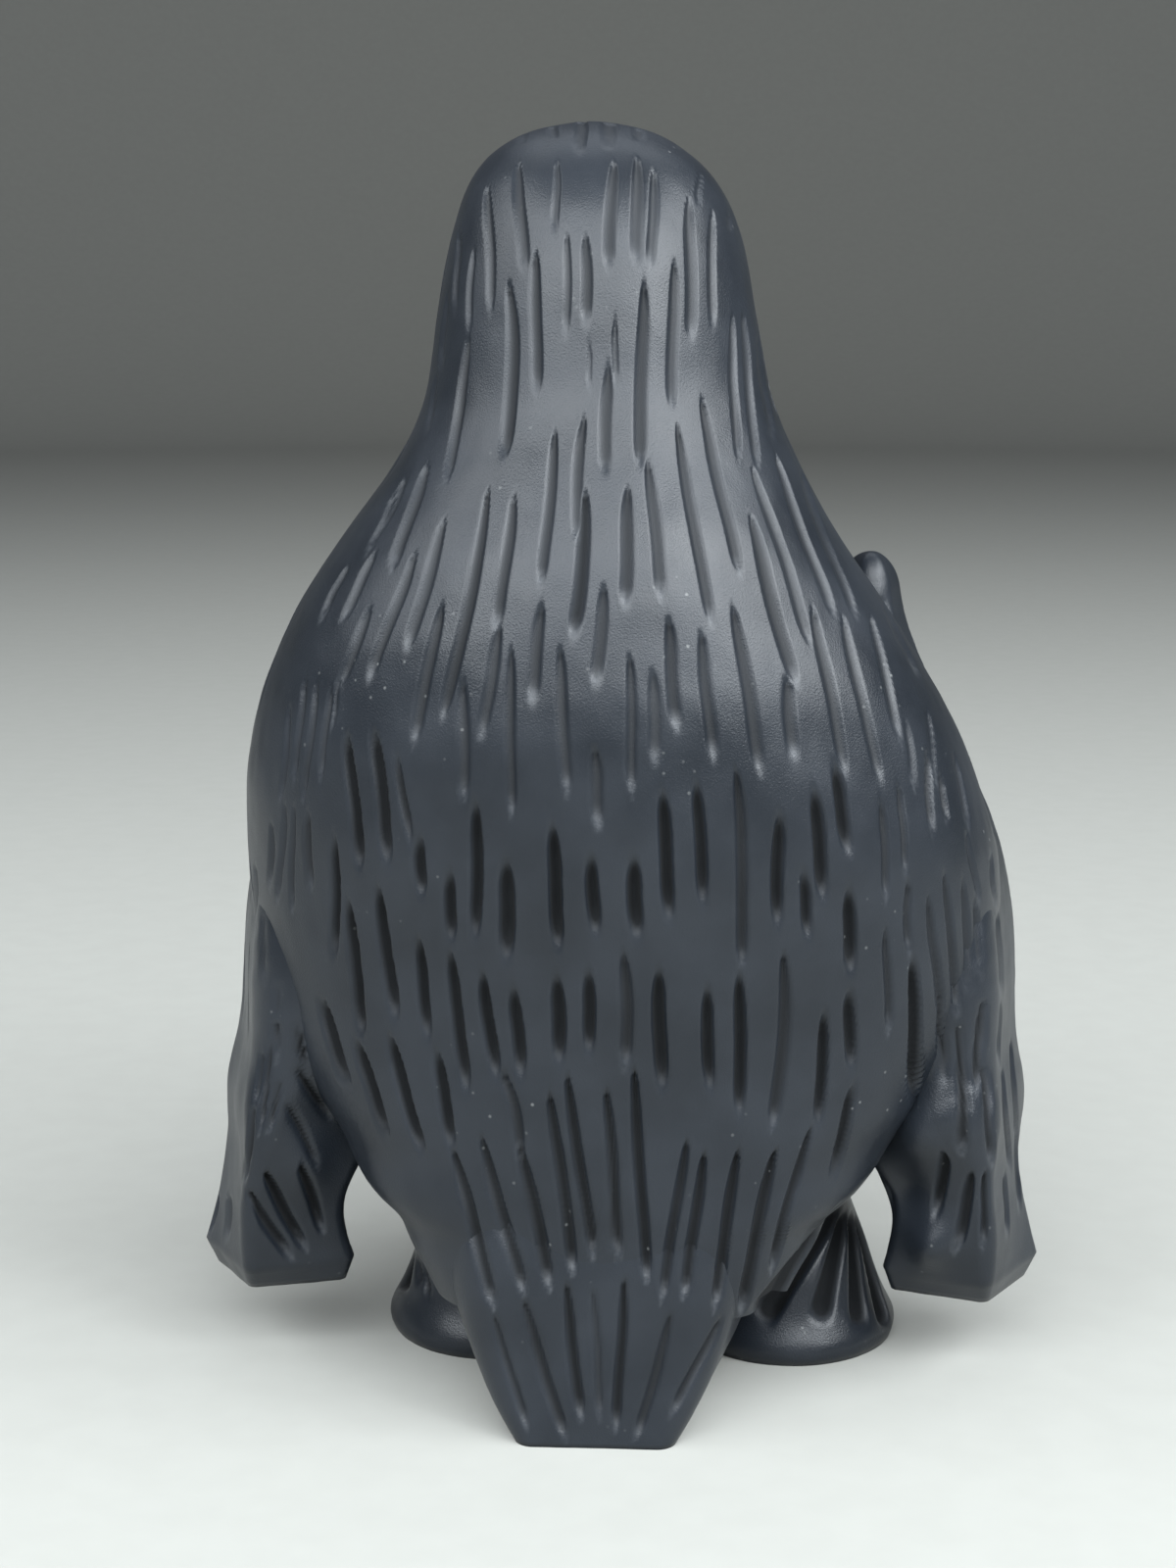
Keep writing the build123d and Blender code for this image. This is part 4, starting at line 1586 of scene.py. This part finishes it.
@dataclass
class Studio:
    """A pale floor that sweeps up all round, under four broad soft lamps and a faint sky.

    Each lamp has a name, a place, a width and height, in metres, and a power, in watts.
    """

    floor_radius: float = 2.4
    middle_radius: float = 0.02
    rim_radius: float = 0.9
    columns: int = 96
    rows: int = 40
    lamp_colour: tuple = (0.91, 0.96, 1.0)
    sky_colour: tuple = (0.86, 0.90, 0.95, 1.0)
    sky_strength: float = 0.12
    aim: tuple = (0.0, 0.0, 0.55 * FIGURE_HEIGHT)
    lamps: tuple = (
        ("key", (-0.06, 0.85, 0.88), (2.0, 0.66), 37.0),
        ("left_key", (0.87, 0.32, 0.85), (1.0, 0.66), 10.0),
        ("right_key", (-0.87, 0.32, 0.85), (1.0, 0.66), 19.0),
        ("top", (0.0, -0.60, 1.40), (1.4, 0.7), 4.5),
    )

    def floor(self) -> bpy.types.Object:
        """A flat disc whose edge rises in a quarter circle.

        Returns:
            The floor's object.
        """
        flat = np.linspace(self.middle_radius, self.floor_radius, self.rows)
        climb = np.linspace(0.0, 0.5 * math.pi, self.rows)[1:]
        radius = np.r_[flat, self.floor_radius + self.rim_radius * np.sin(climb)]
        height = np.r_[np.zeros(self.rows), self.rim_radius * (1.0 - np.cos(climb))]
        turns = once_round(self.columns)
        ways = np.stack((np.cos(turns), np.sin(turns)), axis=-1)
        points = lifted(radius[:, None, None] * ways, height).reshape(-1, 3)
        index = np.arange(len(points)).reshape(-1, self.columns)
        after = np.roll(index, -1, axis=1)
        quads = np.stack((index[:-1], index[1:], after[1:], after[:-1]), axis=-1).reshape(-1, 4)
        disc = [index[0].tolist()]
        mesh = bpy.data.meshes.new("floor")
        mesh.from_pydata(points.tolist(), [], quads.tolist() + disc)
        mesh.shade_smooth()
        floor = bpy.data.objects.new("floor", mesh)
        bpy.context.scene.collection.objects.link(floor)
        finish = PlainFinish("floor_paper", (0.344, 0.344, 0.319, 1.0), (0.353, 0.353, 0.328, 1.0), 0.8)
        mesh.materials.append(finish.make())
        LOG.info("stage floor")
        return floor

    def lamp(self, name: str, place: tuple, size: tuple, power: float) -> None:
        """One soft rectangular lamp, turned to the figure.

        Args:
            name: The lamp's name.
            place: Where it hangs, in metres.
            size: Its width and height, in metres.
            power: Its power, in watts.
        """
        data = bpy.data.lights.new(name, "AREA")
        data.shape = "RECTANGLE"
        data.size, data.size_y = size
        data.energy = power
        data.color = self.lamp_colour
        lamp = bpy.data.objects.new(name, data)
        lamp.location = place
        turn = (Vector(self.aim) - Vector(place)).to_track_quat("-Z", "Y")
        lamp.rotation_euler = turn.to_euler()
        bpy.context.scene.collection.objects.link(lamp)
        LOG.info("lamp %s", name)

    def world(self) -> None:
        """An even pale sky."""
        world = bpy.data.worlds.new("studio")
        world.use_nodes = True
        back = world.node_tree.nodes["Background"]
        back.inputs["Color"].default_value = self.sky_colour
        back.inputs["Strength"].default_value = self.sky_strength
        bpy.context.scene.world = world

    def build(self) -> None:
        """Set up floor, lamps and sky."""
        self.floor()
        self.world()
        for name, place, size, power in self.lamps:
            self.lamp(name, place, size, power)
        bpy.context.scene.view_settings.view_transform = "Standard"


@dataclass
class Penguin:
    """The whole ornament: skins for the castings, and pins, rods, dowel, plug and eyes as they are."""

    def castings(self, paint: bpy.types.Material) -> None:
        """Build every painted skin and let it stand for its CAD node.

        Args:
            paint: The black paint.
        """
        skins = [(piece, node) for node, piece in Trunk(BodyForm()).build().items()]
        for side in Side:
            foot = Foot(side)
            skins.append((Flipper(side).build(), f"{side.word}_flipper"))
            skins.append((foot.bell(), f"{side.word}_foot"))
            skins.append((foot.sole(), f"{side.word}_foot"))
        skins.append((Tail().build(), "tail"))
        skins.append((Beak().build(), "beak"))
        for piece, node in skins:
            piece.data.materials.append(paint)
            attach(piece, BODY_NAME)
            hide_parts(node)

    def hardware(self) -> None:
        """Give the CAD nodes that no skin stands for their materials."""
        steel = PlainFinish("pin_steel", (0.55, 0.56, 0.58, 1.0), (0.48, 0.49, 0.51, 1.0), 0.32, 1.0)
        resin = PlainFinish("bare_resin", (0.60, 0.56, 0.48, 1.0), (0.55, 0.51, 0.43, 1.0), 0.55)
        bead = PlainFinish("eye_bead", (0.008, 0.008, 0.009, 1.0), (0.010, 0.010, 0.011, 1.0), 0.08)
        pins = ["beak_pin", "tail_pins"]
        pins += [f"{side.word}_{kind}" for kind in ("flipper_pins", "leg_rod") for side in Side]
        uses = (
            (steel, pins),
            (resin, ["belly_plug"]),
            (bead, [f"{side.word}_eye" for side in Side]),
            (WoodFinish(), ["neck_dowel"]),
        )
        for finish, nodes in uses:
            material = finish.make()
            for node in nodes:
                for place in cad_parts[node].material_slots:
                    place.material = material
                LOG.info("finish %s on %s", finish.name, node)

    def build(self) -> None:
        """Build and dress everything."""
        self.castings(PaintFinish().make())
        self.hardware()


def main() -> None:
    """Build the ornament, the studio and the camera."""
    logging.basicConfig(level=logging.INFO, format="%(name)s: %(message)s")
    Penguin().build()
    Studio().build()
    CAMERA.build()


if __name__ == "__main__":
    main()
